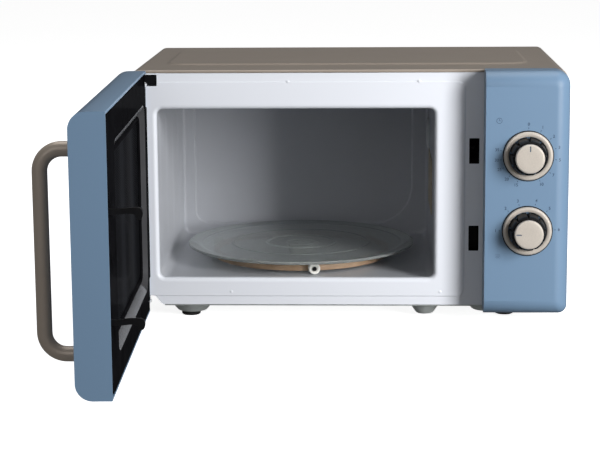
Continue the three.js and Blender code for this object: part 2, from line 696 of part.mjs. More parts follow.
function turntablePlate() {
  const t = 3.4;
  const rim = 3;
  const R = TURNTABLE_RADIUS;
  const z = PLATE_UNDER;
  return turnedZ([
    [0, z], [R - 14, z], [R, z + rim - 1.6], [R, z + rim + 1.6], [R - 1.5, z + rim + 1.8],
    [R - 15, z + t], [0, z + t],
  ], TURNTABLE_X, TURNTABLE_Y, 40);
}

place(oven, 'turntable_plate', turntablePlate(), clearGlass);

function driveCoupler() {
  const shape = new THREE.Shape();
  for (let i = 0; i <= 24; i += 1) {
    const a = (i / 24) * TURN;
    const r = 14 + 5 * Math.max(0, Math.cos(3 * a)) ** 2;
    shape[i === 0 ? 'moveTo' : 'lineTo'](r * Math.cos(a), r * Math.sin(a));
  }
  const head = column(shape, CAVITY_FLOOR + 1.5, PLATE_UNDER - GAP).translate(TURNTABLE_X, TURNTABLE_Y, 0);
  const shaft = rodZ(3.5, 32, CAVITY_FLOOR + 2, TURNTABLE_X, TURNTABLE_Y, 12);
  const boss = rodZ(7, CAVITY_FLOOR - 0.6, CAVITY_FLOOR + 2, TURNTABLE_X, TURNTABLE_Y, 16);
  return join(head, boss, shaft);
}

place(oven, 'drive_coupler', driveCoupler(), whitePlastic);

const RING_OUTER = 95;
const FIRST_WHEEL_DEG = -80;
const wheelAngles = [0, 1, 2].map((i) => THREE.MathUtils.degToRad(FIRST_WHEEL_DEG + i * 120));

function rollerRing() {
  const zTop = AXLE_Z + 2.4;
  const zLow = AXLE_Z - 3.6;
  const band = turnedZ([
    [RING_OUTER - 4, zLow], [RING_OUTER, zLow], [RING_OUTER, zTop], [RING_OUTER - 4, zTop],
    [RING_OUTER - 4, zLow],
  ], 0, 0, 36);
  const axle = () => rodX(1.4, RING_OUTER - 2, WHEEL_TRACK + 4.6, 0, AXLE_Z, 10);
  const axles = wheelAngles.map((a) => axle().rotateZ(a));
  return join(band, ...axles).translate(TURNTABLE_X, TURNTABLE_Y, 0);
}

place(oven, 'roller_ring', rollerRing(), tanPlastic);

wheelAngles.forEach((a, i) => {
  const half = 3.6;
  const profile = [
    [1.8, -half], [WHEEL_RADIUS - 0.8, -half], [WHEEL_RADIUS, -half + 0.8], [WHEEL_RADIUS, half - 0.8],
    [WHEEL_RADIUS - 0.8, half], [1.8, half], [1.8, -half],
  ];
  const wheel = turnedY(profile, 0, 0, 16).rotateZ(-TURN / 4);
  wheel.translate(WHEEL_TRACK, 0, AXLE_Z).rotateZ(a).translate(TURNTABLE_X, TURNTABLE_Y, 0);
  place(oven, `roller_wheel_${i + 1}`, wheel, whitePlastic);
});

function turntableMotor() {
  const can = rodZ(24.5, 20.5, 38.5, TURNTABLE_X, TURNTABLE_Y, 24);
  const ears = block(
    TURNTABLE_X - 31, TURNTABLE_Y - 5, 37.3, TURNTABLE_X + 31, TURNTABLE_Y + 5, CAVITY_FLOOR - 1 - GAP,
  );
  return cut(join(can, ears), rodZ(8, 30, 45, TURNTABLE_X, TURNTABLE_Y, 16));
}

place(oven, 'turntable_motor', turntableMotor(), galvanised);

// ---------------------------------------------------------------- microwave parts in the right-hand bay
const BAY_LEFT = CAVITY_RIGHT + 1 + GAP;

const micaCover = block(
  CAVITY_RIGHT - 1.1, WAVE_PORT.y0 - 20, WAVE_PORT.z0 - 10,
  CAVITY_RIGHT - GAP, WAVE_PORT.y1 + 20, WAVE_PORT.z1 + 10,
);
place(oven, 'mica_cover', micaCover, micaSheet);

const GUIDE = { x1: BAY_LEFT + 24, y0: 92, y1: 196, z0: 98, z1: 150 };

function waveguide() {
  const { x1, y0, y1, z0, z1 } = GUIDE;
  const t = 1.2;
  const duct = block(BAY_LEFT, y0, z0, x1, y1, z1);
  const hollow = block(BAY_LEFT + t, y0 + t, z0 + t, x1 - t, y1 - t, z1 - t);
  const port = block(BAY_LEFT - 1, WAVE_PORT.y0, WAVE_PORT.z0, BAY_LEFT + 3, WAVE_PORT.y1, WAVE_PORT.z1);
  const antenna = rodX(12, x1 - 3, x1 + 1, 146, 124, 20);
  return cut(duct, hollow, port, antenna);
}

place(oven, 'waveguide', waveguide(), galvanised);

function magnetron() {
  const x0 = GUIDE.x1 + GAP;
  const yMid = 146;
  const zMid = 124;
  const yoke = cut(
    block(x0, yMid - 45, zMid - 38, x0 + 62, yMid + 45, zMid + 38),
    block(x0 + 3, yMid - 60, zMid - 35, x0 + 59, yMid + 60, zMid + 35),
  );
  const fins = [];
  for (let i = 0; i < 5; i += 1) {
    const x = x0 + 17 + i * 6.8;
    fins.push(block(x, yMid - 40, zMid - 36, x + 0.8, yMid + 40, zMid + 36));
  }
  return join(
    yoke, rodX(19, x0 + 1, x0 + 61, yMid, zMid, 14), rodX(8, x0 - 14, x0 + 2, yMid, zMid, 12),
    ...fins, block(x0 + 60, yMid - 26, zMid - 24, x0 + 82, yMid + 26, zMid + 24),
  );
}

place(oven, 'magnetron', magnetron(), galvanised);

const CORE = { x0: 104, x1: 196, y0: 148, y1: 222, z0: BASE_TOP + GAP, z1: 78 };

function transformerCore() {
  const { x0, x1, y0, y1, z0, z1 } = CORE;
  const w = 16;
  const left = block(x0 + w, y0 - 1, z0 + 14, x0 + w + 18, y1 + 1, z1 - 12);
  const right = block(x1 - w - 18, y0 - 1, z0 + 14, x1 - w, y1 + 1, z1 - 12);
  return cut(block(x0, y0, z0, x1, y1, z1), left, right);
}

function transformerCoil() {
  const { x0, x1, y0, y1, z0, z1 } = CORE;
  const left = x0 + 16 + GAP;
  const right = x1 - 16 - GAP;
  const outer = rectShape(left, y0 - 15, right, y1 + 15, 14);
  outer.holes.push(rectShape(left + 17.4, y0 - 0.4, right - 17.4, y1 + 0.4));
  return column(outer, z0 + 14 + GAP, z1 - 12 - GAP, 4);
}

place(oven, 'transformer_core', transformerCore(), darkSteel);
place(oven, 'transformer_coil', transformerCoil(), copperWinding);

const CAPACITOR = { x0: 108, x1: 196, y: 100, z: 40, half: 17 };

function capacitorCan() {
  const { x0, x1, y, z, half } = CAPACITOR;
  const outline = rectShape(y - half - 9, z - half, y + half + 9, z + half, half - 0.5);
  const can = new THREE.ExtrudeGeometry(outline, { depth: x1 - x0, bevelEnabled: false, curveSegments: 6 });
  can.rotateX(TURN / 4).rotateZ(TURN / 4).translate(x0, 0, 0);
  const terminals = [-9, 9].map((dy) => block(x0 - 6, y + dy - 3, z - 0.4, x0 + 1, y + dy + 3, z + 0.4));
  return join(can, ...terminals);
}

function capacitorClamp() {
  const { y, z, half } = CAPACITOR;
  const x0 = 148;
  const x1 = 160;
  const around = (e, from, to) => {
    const s = rectShape(y - half - 9 - e, z - half - e, y + half + 9 + e, z + half + e, half - 0.5 + e);
    const g = new THREE.ExtrudeGeometry(s, { depth: to - from, bevelEnabled: false, curveSegments: 6 });
    return g.rotateX(TURN / 4).rotateZ(TURN / 4).translate(from, 0, 0);
  };
  const low = BASE_TOP + GAP;
  const foot = block(x0, y + half + 8, low, x1, y + half + 26, low + 1.5);
  const riser = block(x0, y + half + 9.4, low, x1, y + half + 10.6, z);
  return cut(join(around(1.6, x0, x1), foot, riser), around(0.35, x0 - 2, x1 + 2));
}

place(oven, 'capacitor', capacitorCan(), brightMetal);
place(oven, 'capacitor_clamp', capacitorClamp(), galvanised);

function highVoltageDiode() {
  const y = 62;
  const z = 30;
  const tag = block(150, y - 5, z - 5, 151.4, y + 5, z + 5);
  return join(rodX(3.4, 118, 142, y, z, 12), rodX(0.8, 108, 152, y, z, 8), tag);
}

place(oven, 'high_voltage_diode', highVoltageDiode(), blackPlastic);

// ---------------------------------------------------------------- cooling fan
const FAN_X = 158;
const FAN_Z = 150;
const FAN_HOLE = 46;

function fanShroud() {
  const plate = slab(rectShape(BAY_LEFT + 4, 96, HALF - SHEET - 1, 206, 4), 230, 231.5, 2);
  const rim = rodY(FAN_HOLE + 1.6, 222, 231, FAN_X, FAN_Z, 32);
  const bore = rodY(FAN_HOLE, 200, 240, FAN_X, FAN_Z, 32);
  const shaftHole = rodY(5, 220, 240, FAN_X, FAN_Z, 12);
  const bridge = cut(block(FAN_X - 56, 234.8, FAN_Z - 3, FAN_X + 56, 236, FAN_Z + 3), shaftHole);
  const posts = [-52, 52].map((dx) => block(
    FAN_X + dx - 4, 231, FAN_Z - 3, FAN_X + dx + 4, 235.2, FAN_Z + 3,
  ));
  return join(cut(join(plate, rim), bore), ...posts, bridge);
}

place(oven, 'fan_shroud', fanShroud(), galvanised);

function fanBlade() {
  const hub = rodY(11, 221, 229, FAN_X, FAN_Z, 20);
  const blades = [];
  for (let i = 0; i < 5; i += 1) {
    const b = new THREE.BoxGeometry(34, 1.2, 20).rotateX(0.35).translate(26, 225, 0);
    blades.push(b.rotateY((i * TURN) / 5).translate(FAN_X, 0, FAN_Z));
  }
  return join(hub, ...blades, rodY(1.8, 228, 242, FAN_X, FAN_Z, 10));
}

place(oven, 'fan_blade', fanBlade(), blackPlastic);

function fanMotor() {
  const core = block(FAN_X - 26, 236.3, FAN_Z - 20, FAN_X + 26, 250, FAN_Z + 20);
  const coil = block(FAN_X - 14, 246, FAN_Z - 30, FAN_X + 14, 258, FAN_Z + 10);
  return cut(join(core, coil), rodY(2.4, 230, 244, FAN_X, FAN_Z, 12));
}

place(oven, 'fan_motor', fanMotor(), darkSteel);

// ---------------------------------------------------------------- lamp, filter board, fuse and cut-out
place(oven, 'cavity_lamp', join(
  rodX(6.5, CAVITY_RIGHT + 3, CAVITY_RIGHT + 14, LAMP_Y, LAMP_Z, 16),
  rodX(8.5, CAVITY_RIGHT + 13, CAVITY_RIGHT + 26, LAMP_Y, LAMP_Z, 16),
), whitePlastic);

const BOARD = { x0: 142, x1: 204, y0: 24, y1: 84, z: 222 };

function filterBoard() {
  const { x0, x1, y0, y1, z } = BOARD;
  return join(
    block(x0, y0, z, x1, y1, z + 1.6), block(x0 + 8, y0 + 30, z + 1, x0 + 28, y0 + 52, z + 16),
    rodZ(9, z + 1, z + 12, x1 - 16, y1 - 16, 16), block(x0 + 34, y0 + 36, z + 1, x0 + 40, y0 + 50, z + 12),
  );
}

place(oven, 'filter_board', filterBoard(), greenBoard);
place(oven, 'mains_fuse', join(
  rodX(2.6, 158, 186, BOARD.y0 + 12, BOARD.z + 5.6, 12),
  rodX(3.2, 157, 163, BOARD.y0 + 12, BOARD.z + 5.6, 12),
  rodX(3.2, 181, 187, BOARD.y0 + 12, BOARD.z + 5.6, 12),
), brightMetal);

const CEILING_TOP = CAVITY_CEILING + 1 + GAP;
place(oven, 'thermal_cutout', join(
  rodZ(8, CEILING_TOP, CEILING_TOP + 6, 40, 190, 16),
  block(24, 186, CEILING_TOP, 56, 194, CEILING_TOP + 1),
  block(36, 187, CEILING_TOP + 5, 37, 193, CEILING_TOP + 12),
  block(43, 187, CEILING_TOP + 5, 44, 193, CEILING_TOP + 12),
), blackPlastic);

// The origin is the middle of the whole object's footprint on the floor.
const bounds = new THREE.Box3().setFromObject(oven);
const middle = bounds.getCenter(new THREE.Vector3());
oven.position.set(-middle.x, -middle.y, 0);

export default oven;
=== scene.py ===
"""Countertop microwave oven: its detailed pieces and finishes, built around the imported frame.

Pieces are drawn in millimetres from the middle of the front plate at floor level, with the door shut,
and are then placed in the frame in metres.
"""

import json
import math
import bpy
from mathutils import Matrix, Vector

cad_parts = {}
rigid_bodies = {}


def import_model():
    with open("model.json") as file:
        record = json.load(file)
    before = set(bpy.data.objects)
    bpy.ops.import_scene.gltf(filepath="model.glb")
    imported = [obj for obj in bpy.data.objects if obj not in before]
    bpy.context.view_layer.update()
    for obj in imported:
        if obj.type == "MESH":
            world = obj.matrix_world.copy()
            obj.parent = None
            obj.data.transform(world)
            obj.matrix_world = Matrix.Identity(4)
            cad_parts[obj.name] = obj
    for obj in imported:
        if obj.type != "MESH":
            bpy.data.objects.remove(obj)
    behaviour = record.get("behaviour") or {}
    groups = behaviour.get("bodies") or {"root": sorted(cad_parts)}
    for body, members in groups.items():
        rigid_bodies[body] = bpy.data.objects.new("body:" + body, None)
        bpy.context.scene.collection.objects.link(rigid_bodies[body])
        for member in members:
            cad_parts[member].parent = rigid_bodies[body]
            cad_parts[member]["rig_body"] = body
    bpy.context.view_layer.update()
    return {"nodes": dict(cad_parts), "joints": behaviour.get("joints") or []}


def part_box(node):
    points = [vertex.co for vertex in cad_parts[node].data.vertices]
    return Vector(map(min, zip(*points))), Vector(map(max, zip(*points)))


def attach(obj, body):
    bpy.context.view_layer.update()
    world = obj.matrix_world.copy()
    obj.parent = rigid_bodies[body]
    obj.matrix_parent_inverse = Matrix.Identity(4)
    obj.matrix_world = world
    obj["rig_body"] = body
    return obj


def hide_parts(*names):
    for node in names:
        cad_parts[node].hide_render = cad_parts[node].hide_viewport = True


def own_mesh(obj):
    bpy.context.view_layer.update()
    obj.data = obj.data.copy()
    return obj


bl_info = {
    "name": "Countertop Microwave Oven",
    "version": (1, 0, 0),
    "blender": (4, 5, 0),
    "location": "View3D > Sidebar > Oven",
    "description": "Builds a compact dial microwave oven with an open door, piece by piece",
    "category": "Add Mesh",
}

import bmesh
import bpy
from mathutils import Matrix, Vector

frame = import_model()

MM = 0.001
TURN = 2 * math.pi
SAME_POINT = 1e-4
NO_LENGTH = 1e-5
FLAT = math.radians(0.3)
RUNS_ON = math.radians(40)
CREASE = math.radians(36)
FAR_LARGER = 8

# ---------------------------------------------------------------- where things are


def joint(name):
    """The record's joint of that name."""
    return next(j for j in frame["joints"] if j["name"] == name)


plate_low, plate_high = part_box("front_plate")
ORIGIN = Vector(((plate_low.x + plate_high.x) / 2, plate_low.y, 0))
CABINET = Matrix.Translation(ORIGIN) @ Matrix.Scale(MM, 4)
HINGE_PIN = Matrix.Translation(joint("door_hinge")["pos_m"])
DOOR_SWING = Matrix.Rotation(-math.radians(joint("door_hinge")["range_deg"][1]), 4, "Z")
DOOR = HINGE_PIN @ DOOR_SWING @ HINGE_PIN.inverted() @ CABINET

PLACES = {"door": DOOR, "latch": DOOR}


class Span:
    """A CAD node's box in the drawing's millimetres."""

    def __init__(self, node):
        shape = frame["nodes"][node]
        back = PLACES.get(shape["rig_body"], CABINET).inverted()
        points = [back @ v.co for v in shape.data.vertices]
        self.x0, self.y0, self.z0 = (min(p[i] for p in points) for i in range(3))
        self.x1, self.y1, self.z1 = (max(p[i] for p in points) for i in range(3))
        self.x, self.y, self.z = (self.x0 + self.x1) / 2, (self.y0 + self.y1) / 2, (self.z0 + self.z1) / 2


def drawn(point):
    """A point of the record, in the drawing's millimetres."""
    return CABINET.inverted() @ Vector(point)


# ---------------------------------------------------------------- outlines


def arc(cx, cy, radius, start, end, steps):
    """Points along an arc, its angles in quarter turns."""
    found = []
    for i in range(steps + 1):
        a = (start + (end - start) * i / steps) * TURN / 4
        found.append((cx + radius * math.cos(a), cy + radius * math.sin(a)))
    return found


def rounded(x0, y0, x1, y1, radius, steps=8):
    """A rectangle's outline with round corners.

    The radius is one number, or one for each corner from x0, y0 on.
    """
    radii = radius if isinstance(radius, tuple) else (radius,) * 4
    corners = [(x0, y0, 1, 1, 2), (x1, y0, -1, 1, 3), (x1, y1, -1, -1, 0), (x0, y1, 1, -1, 1)]
    found = []
    for (cx, cy, sx, sy, quarter), r in zip(corners, radii):
        found += arc(cx + sx * r, cy + sy * r, r, quarter, quarter + 1, steps) if r > 0 else [(cx, cy)]
    return found


def smooth_curve(points, steps):
    """A Catmull-Rom curve through points of two coordinates."""
    last = len(points) - 1
    found = []
    for i in range(last):
        near = [points[min(max(i + k, 0), last)] for k in (-1, 0, 1, 2)]
        for s in range(steps):
            t = s / steps
            weights = (
                -0.5 * t + t**2 - 0.5 * t**3,
                1 - 2.5 * t**2 + 1.5 * t**3,
                0.5 * t + 2 * t**2 - 1.5 * t**3,
                -0.5 * t**2 + 0.5 * t**3,
            )
            found.append(tuple(sum(w * p[c] for w, p in zip(weights, near)) for c in (0, 1)))
    return found + [points[-1]]


def lying(outline, z):
    return [(u, v, z) for u, v in outline]


def facing(outline, y):
    return [(u, y, v) for u, v in outline]


def sideways(outline, x):
    return [(x, u, v) for u, v in outline]


def framed(box, out, corner, y, steps=8):
    """A round-cornered rectangle at depth y: box is x0, z0, x1, z1, and out is how far it grows."""
    x0, z0, x1, z1 = box
    return facing(rounded(x0 - out, z0 - out, x1 + out, z1 + out, corner, steps), y)


# ---------------------------------------------------------------- solids


def mended(solid):
    """The solid without doubled points, empty faces or loose edges."""
    bmesh.ops.remove_doubles(solid, verts=solid.verts, dist=SAME_POINT)
    bmesh.ops.dissolve_degenerate(solid, edges=solid.edges, dist=NO_LENGTH)
    loose = [e for e in solid.edges if not e.link_faces]
    bmesh.ops.delete(solid, geom=loose, context="EDGES")
    bmesh.ops.recalc_face_normals(solid, faces=solid.faces)
    return solid


def skin(rings, wrapped=False, capped=True):
    """A skin over rings of points, each with the same number of points."""
    solid = bmesh.new()
    rows = [[solid.verts.new(p) for p in ring] for ring in rings]
    pairs = list(zip(rows, rows[1:]))
    if wrapped:
        pairs.append((rows[-1], rows[0]))
    for near, far in pairs:
        for i in range(len(near)):
            k = (i + 1) % len(near)
            solid.faces.new((near[i], near[k], far[k], far[i]))
    if capped and not wrapped:
        solid.faces.new(rows[0][::-1])
        solid.faces.new(rows[-1])
    return mended(solid)


def slab(outline, y0, y1):
    """An outline in X and Z, with thickness from y0 to y1."""
    return skin([facing(outline, y0), facing(outline, y1)])


def column(outline, z0, z1):
    return skin([lying(outline, z0), lying(outline, z1)])


def plank(outline, x0, x1):
    return skin([sideways(outline, x0), sideways(outline, x1)])


def block(x0, y0, z0, x1, y1, z1):
    return column([(x0, y0), (x1, y0), (x1, y1), (x0, y1)], z0, z1)


AXES = {
    "X": lambda r, h, c, s: (h, r * c, r * s),
    "Y": lambda r, h, c, s: (r * s, h, r * c),
    "Z": lambda r, h, c, s: (r * c, r * s, h),
}


def turned(profile, axis, centre, sides=48):
    """A profile of (radius, height) points turned about an axis; centre is a point on that axis."""
    rings = []
    for i in range(sides):
        a = i * TURN / sides
        ring = [AXES[axis](r, h, math.cos(a), math.sin(a)) for r, h in profile]
        rings.append([tuple(p + q for p, q in zip(point, centre)) for point in ring])
    return skin(rings, wrapped=True)


def rod(radius, low, high, axis, centre, sides=24):
    return turned([(0, low), (radius, low), (radius, high), (0, high)], axis, centre, sides)


def tube(path, radius, sides=20):
    """A round bar along a path of points; radius is one number, or one for each point."""
    points = [Vector(p) for p in path]
    radii = radius if isinstance(radius, (list, tuple)) else [radius] * len(points)
    rings = []
    side = None
    for i, p in enumerate(points):
        ahead = points[min(i + 1, len(points) - 1)] - points[max(i - 1, 0)]
        ahead.normalize()
        if side is None:
            side = ahead.orthogonal().normalized()
        side = (side - ahead * side.dot(ahead)).normalized()
        other = ahead.cross(side)
        angles = [k * TURN / sides for k in range(sides)]
        rings.append([p + radii[i] * (side * math.cos(a) + other * math.sin(a)) for a in angles])
    return skin(rings)


def moved(solid, matrix):
    bmesh.ops.transform(solid, matrix=matrix, verts=solid.verts)
    return solid


def together(*solids):
    """Separate solids gathered in one mesh."""
    gathered = bmesh.new()
    for solid in solids:
        scratch = bpy.data.meshes.new("scratch")
        solid.to_mesh(scratch)
        gathered.from_mesh(scratch)
        bpy.data.meshes.remove(scratch)
        solid.free()
    return gathered


def worked(operation, solid, *others):
    """The solid after a boolean UNION, DIFFERENCE or INTERSECT with each of the others."""
    shapes = []
    for shape in (solid, *others):
        leaks = sum(len(edge.link_faces) != 2 for edge in shape.edges)
        if leaks:
            raise RuntimeError(f"{operation}: shape {len(shapes)} has {leaks} open edges")
        mesh = bpy.data.meshes.new("scratch")
        shape.to_mesh(mesh)
        shape.free()
        holder = bpy.data.objects.new("scratch", mesh)
        bpy.context.scene.collection.objects.link(holder)
        shapes.append(holder)
    for tool in shapes[1:]:
        step = shapes[0].modifiers.new("step", "BOOLEAN")
        step.operation = operation
        step.solver = "MANIFOLD"
        step.object = tool
    bpy.context.view_layer.update()
    made = shapes[0].evaluated_get(bpy.context.evaluated_depsgraph_get())
    result = bmesh.new()
    result.from_mesh(made.to_mesh())
    for shape in shapes:
        mesh = shape.data
        bpy.data.objects.remove(shape)
        bpy.data.meshes.remove(mesh)
    if not result.faces:
        raise RuntimeError("a boolean left nothing: " + operation)
    return mended(result)


def joined(solid, *others):
    return worked("UNION", solid, *others)


def cut(solid, *tools):
    return worked("DIFFERENCE", solid, *tools)


def common(solid, other):
    return worked("INTERSECT", solid, other)


def flat_faces(solid):
    """Which faces lie in flat areas far larger than the areas that run on smoothly from them."""
    solid.normal_update()
    area_of, areas = {}, []
    for face in solid.faces:
        if face in area_of:
            continue
        area_of[face] = len(areas)
        waiting, total = [face], 0
        while waiting:
            near = waiting.pop()
            total += near.calc_area()
            for edge in near.edges:
                if len(edge.link_faces) == 2 and edge.calc_face_angle(0) < FLAT:
                    for far in edge.link_faces:
                        if far not in area_of:
                            area_of[far] = len(areas)
                            waiting.append(far)
        areas.append(total)
    rivals = [0] * len(areas)
    for edge in solid.edges:
        if len(edge.link_faces) == 2 and FLAT <= edge.calc_face_angle(0) < RUNS_ON:
            a, b = (area_of[face] for face in edge.link_faces)
            rivals[a] = max(rivals[a], areas[b])
            rivals[b] = max(rivals[b], areas[a])
    return [areas[area_of[face]] > FAR_LARGER * rivals[area_of[face]] for face in solid.faces]


def piece(name, solid, body, finish, replaces=(), soften=0.35, rounds=2, sharp=32):
    """A finished piece of the oven: the solid placed in the frame, its edges softened, riding on its body.

    The finish is a slot's name, or a pair: a finish and the slot it goes in; that slot is not used.
    """
    look, slot = finish if isinstance(finish, tuple) else (finish, finish)
    moved(solid, PLACES.get(body, CABINET))
    mesh = bpy.data.meshes.new(name)
    solid.to_mesh(mesh)
    solid.free()
    made = bpy.data.objects.new(name, mesh)
    bpy.context.scene.collection.objects.link(made)
    if soften > 0:
        soften_edges(made, soften, rounds, sharp)
        bpy.context.view_layer.update()
        graph = bpy.context.evaluated_depsgraph_get()
        softened = bpy.data.meshes.new_from_object(made.evaluated_get(graph))
        made.modifiers.clear()
        made.data = softened
        bpy.data.meshes.remove(mesh)
        softened.name = name
    shade_evenly(made.data)
    made.data.materials.append(FINISHES[look])
    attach(made, body)
    if replaces:
        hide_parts(*replaces)
    return made


def soften_edges(made, soften, rounds=2, sharp=32):
    edge = made.modifiers.new("soft edges", "BEVEL")
    edge.width = soften * MM
    edge.segments = rounds
    edge.limit_method = "ANGLE"
    edge.angle_limit = math.radians(sharp)


def shade_evenly(mesh):
    """Smooth shading, but for sharp edges and for the large flat faces."""
    solid = bmesh.new()
    solid.from_mesh(mesh)
    flat = flat_faces(solid)
    solid.free()
    mesh.shade_smooth()
    mesh.set_sharp_from_angle(angle=CREASE)
    for polygon, is_flat in zip(mesh.polygons, flat):
        polygon.use_smooth = not is_flat


def screw_head(x, y, z, axis, radius):
    """A low domed cross-slot screw head that stands off along Y or Z."""
    height = 0.55 * radius
    profile = [
        (0, 0), (radius, 0), (radius * 0.96, height * 0.45), (radius * 0.7, height * 0.85), (0, height),
    ]
    head = turned(profile, axis, (x, y, z), 24)
    half, wide = radius * 0.55, radius * 0.13
    low, high = height * 0.45, height * 1.2
    across = []
    for a, b in ((half, wide), (wide, half)):
        if axis == "Y":
            across.append(block(x - a, y + low, z - b, x + a, y + high, z + b))
        else:
            across.append(block(x - a, y - b, z + low, x + a, y + b, z + high))
    return cut(head, *across)


# ---------------------------------------------------------------- shader maths


class Wire:
    """A shader socket that takes part in sums; each sum adds its Math node."""

    def __init__(self, paint, socket):
        self.paint = paint
        self.socket = socket

    def _sum(self, operation, first, second):
        return self.paint.node("ShaderNodeMath", {"operation": operation}, {0: first, 1: second})

    def __add__(self, other):
        return self._sum("ADD", self, other)

    __radd__ = __add__

    def __sub__(self, other):
        return self._sum("SUBTRACT", self, other)

    def __mul__(self, other):
        return self._sum("MULTIPLY", self, other)

    __rmul__ = __mul__

    def __lt__(self, other):
        return self._sum("LESS_THAN", self, other)


class Paint:
    """A material being mixed: its node tree and its Principled shader."""

    def __init__(self, name, **constants):
        self.material = bpy.data.materials.new(name)
        self.material.use_nodes = True
        self.tree = self.material.node_tree
        self.shader = self.tree.nodes["Principled BSDF"]
        for key, value in constants.items():
            self.shader.inputs[key.replace("_", " ").title().replace("Ior", "IOR")].default_value = value

    def node(self, kind, settings=None, sockets=None, output=0):
        """Adds a node: its settings first, then the values or links of its sockets."""
        made = self.tree.nodes.new(kind)
        for key, value in (settings or {}).items():
            if key == "stops":
                self._set_stops(made.color_ramp, value)
            else:
                setattr(made, key, value)
        for key, value in (sockets or {}).items():
            if isinstance(value, Wire):
                self.tree.links.new(value.socket, made.inputs[key])
            else:
                made.inputs[key].default_value = value
        return Wire(self, made.outputs[output])

    @staticmethod
    def _set_stops(ramp, stops):
        while len(ramp.elements) < len(stops):
            ramp.elements.new(1)
        for element, (position, value) in zip(ramp.elements, stops):
            element.position = position
            element.color = (value, value, value, 1)

    def feed(self, socket, wire):
        self.tree.links.new(wire.socket, self.shader.inputs[socket])

    def place(self):
        """The point on the object, in metres."""
        return self.node("ShaderNodeTexCoord", output=3)

    def stretched(self, x, y, z):
        """The point on the object with each direction scaled, for drawn or brushed grain."""
        scale = (x, y, z)
        return self.node("ShaderNodeVectorMath", {"operation": "MULTIPLY"}, {0: self.place(), 1: scale})

    def noise(self, per_metre, detail=3, roughness=0.5, vector=None):
        sockets = {
            "Vector": vector or self.place(), "Scale": per_metre, "Detail": detail, "Roughness": roughness,
        }
        return self.node("ShaderNodeTexNoise", None, sockets)

    def ramp(self, wire, *stops):
        return self.node("ShaderNodeValToRGB", {"stops": stops}, {0: wire})

    def blend(self, factor, first, second):
        """A colour between two colours."""
        return self.node("ShaderNodeMix", {"data_type": "RGBA"}, {0: factor, 6: first, 7: second}, 2)

    def bump(self, height, strength, depth_mm):
        sockets = {"Height": height, "Strength": strength, "Distance": depth_mm * MM}
        self.feed("Normal", self.node("ShaderNodeBump", None, sockets))

    def mottle(self, first, second, per_metre, detail=4):
        """Colour that wanders between two close shades."""
        drift = self.ramp(self.noise(per_metre, detail), (0.3, 0), (0.7, 1))
        self.feed("Base Color", self.blend(drift, first, second))

    def gloss_range(self, low, high, per_metre, vector=None):
        """Roughness that wanders between two values."""
        self.feed("Roughness", self.noise(per_metre, 3, 0.5, vector) * (high - low) + low)


def tone(red, green, blue):
    """A colour from display values of 0 to 255, in the linear values that shaders use."""
    shares = [v / 255 for v in (red, green, blue)]
    return (*(v / 12.92 if v <= 0.04 else ((v + 0.055) / 1.055) ** 2.4 for v in shares), 1)


def shade(colour, factor):
    """The colour made darker or lighter."""
    return (*(c * factor for c in colour[:3]), 1)


# ---------------------------------------------------------------- the user's sizes and colours


def colour_property(name, red, green, blue, description):
    return bpy.props.FloatVectorProperty(
        name=name, description=description, subtype="COLOR", size=4, min=0, max=1,
        default=tone(red, green, blue),
    )


class OvenColours(bpy.types.PropertyGroup):
    """Finish colours of the oven."""

    cabinet: colour_property("Cabinet", 164, 152, 140, "Metallic paint of the wrap and the door handle")
    face: colour_property("Face", 107, 133, 159, "Moulded plastic of the door and the control panel")
    enamel: colour_property("Enamel", 226, 229, 236, "Powder coat of the front plate and the cavity")
    trim: colour_property("Trim", 216, 207, 196, "Satin metal of the dial rings and knob caps")
    glass: colour_property("Turntable glass", 232, 238, 236, "Tint of the turntable plate")


class OvenSizes(bpy.types.PropertyGroup):
    """Sizes of the details that the frame leaves open."""

    lip: bpy.props.FloatProperty(
        name="Opening lip", description="Radius of the rolled edge round the cavity opening",
        default=4.2 * MM, min=MM, max=8 * MM, unit="LENGTH",
    )
    emboss: bpy.props.FloatProperty(
        name="Plate emboss", description="Height of the front plate's raised field above its border",
        default=0.7 * MM, min=0.1 * MM, max=MM, unit="LENGTH",
    )
    lobes: bpy.props.IntProperty(
        name="Knob lobes", description="Number of finger lobes round each knob", default=9, min=4, max=24,
    )
    spring_turns: bpy.props.IntProperty(
        name="Spring turns", description="Turns of the latch spring", default=7, min=3, max=16,
    )


# ---------------------------------------------------------------- finishes


def metallic_paint(name, colour):
    """Taupe metallic paint: fine flakes under a satin lacquer."""
    paint = Paint(name, metallic=0.3, coat_weight=0.25, coat_roughness=0.22)
    flake = paint.noise(5200, 2, 0.7)
    cloud = paint.noise(5, 1)
    mixed = flake * 0.55 + cloud * 0.2
    paint.feed("Base Color", paint.blend(mixed, shade(colour, 0.82), shade(colour, 1.16)))
    paint.gloss_range(0.36, 0.42, 20)
    paint.bump(paint.noise(1400, 2), 0.06, 0.1)
    return paint.material


def moulded_gloss(name, colour):
    """Glossy moulded plastic with a faint ripple in its lacquer."""
    paint = Paint(name, coat_weight=0.25, coat_roughness=0.33)
    paint.mottle(shade(colour, 0.985), shade(colour, 1.015), 5, 1)
    paint.gloss_range(0.4, 0.44, 12)
    paint.bump(paint.noise(1500, 2), 0.03, 0.1)
    return paint.material


def powder_coat(name, colour):
    """White powder coat: orange peel and a low sheen."""
    paint = Paint(name, coat_weight=0.12, coat_roughness=0.18)
    paint.mottle(shade(colour, 0.98), colour, 6, 1)
    paint.gloss_range(0.3, 0.36, 40)
    paint.bump(paint.noise(1100, 2), 0.08, 0.12)
    return paint.material


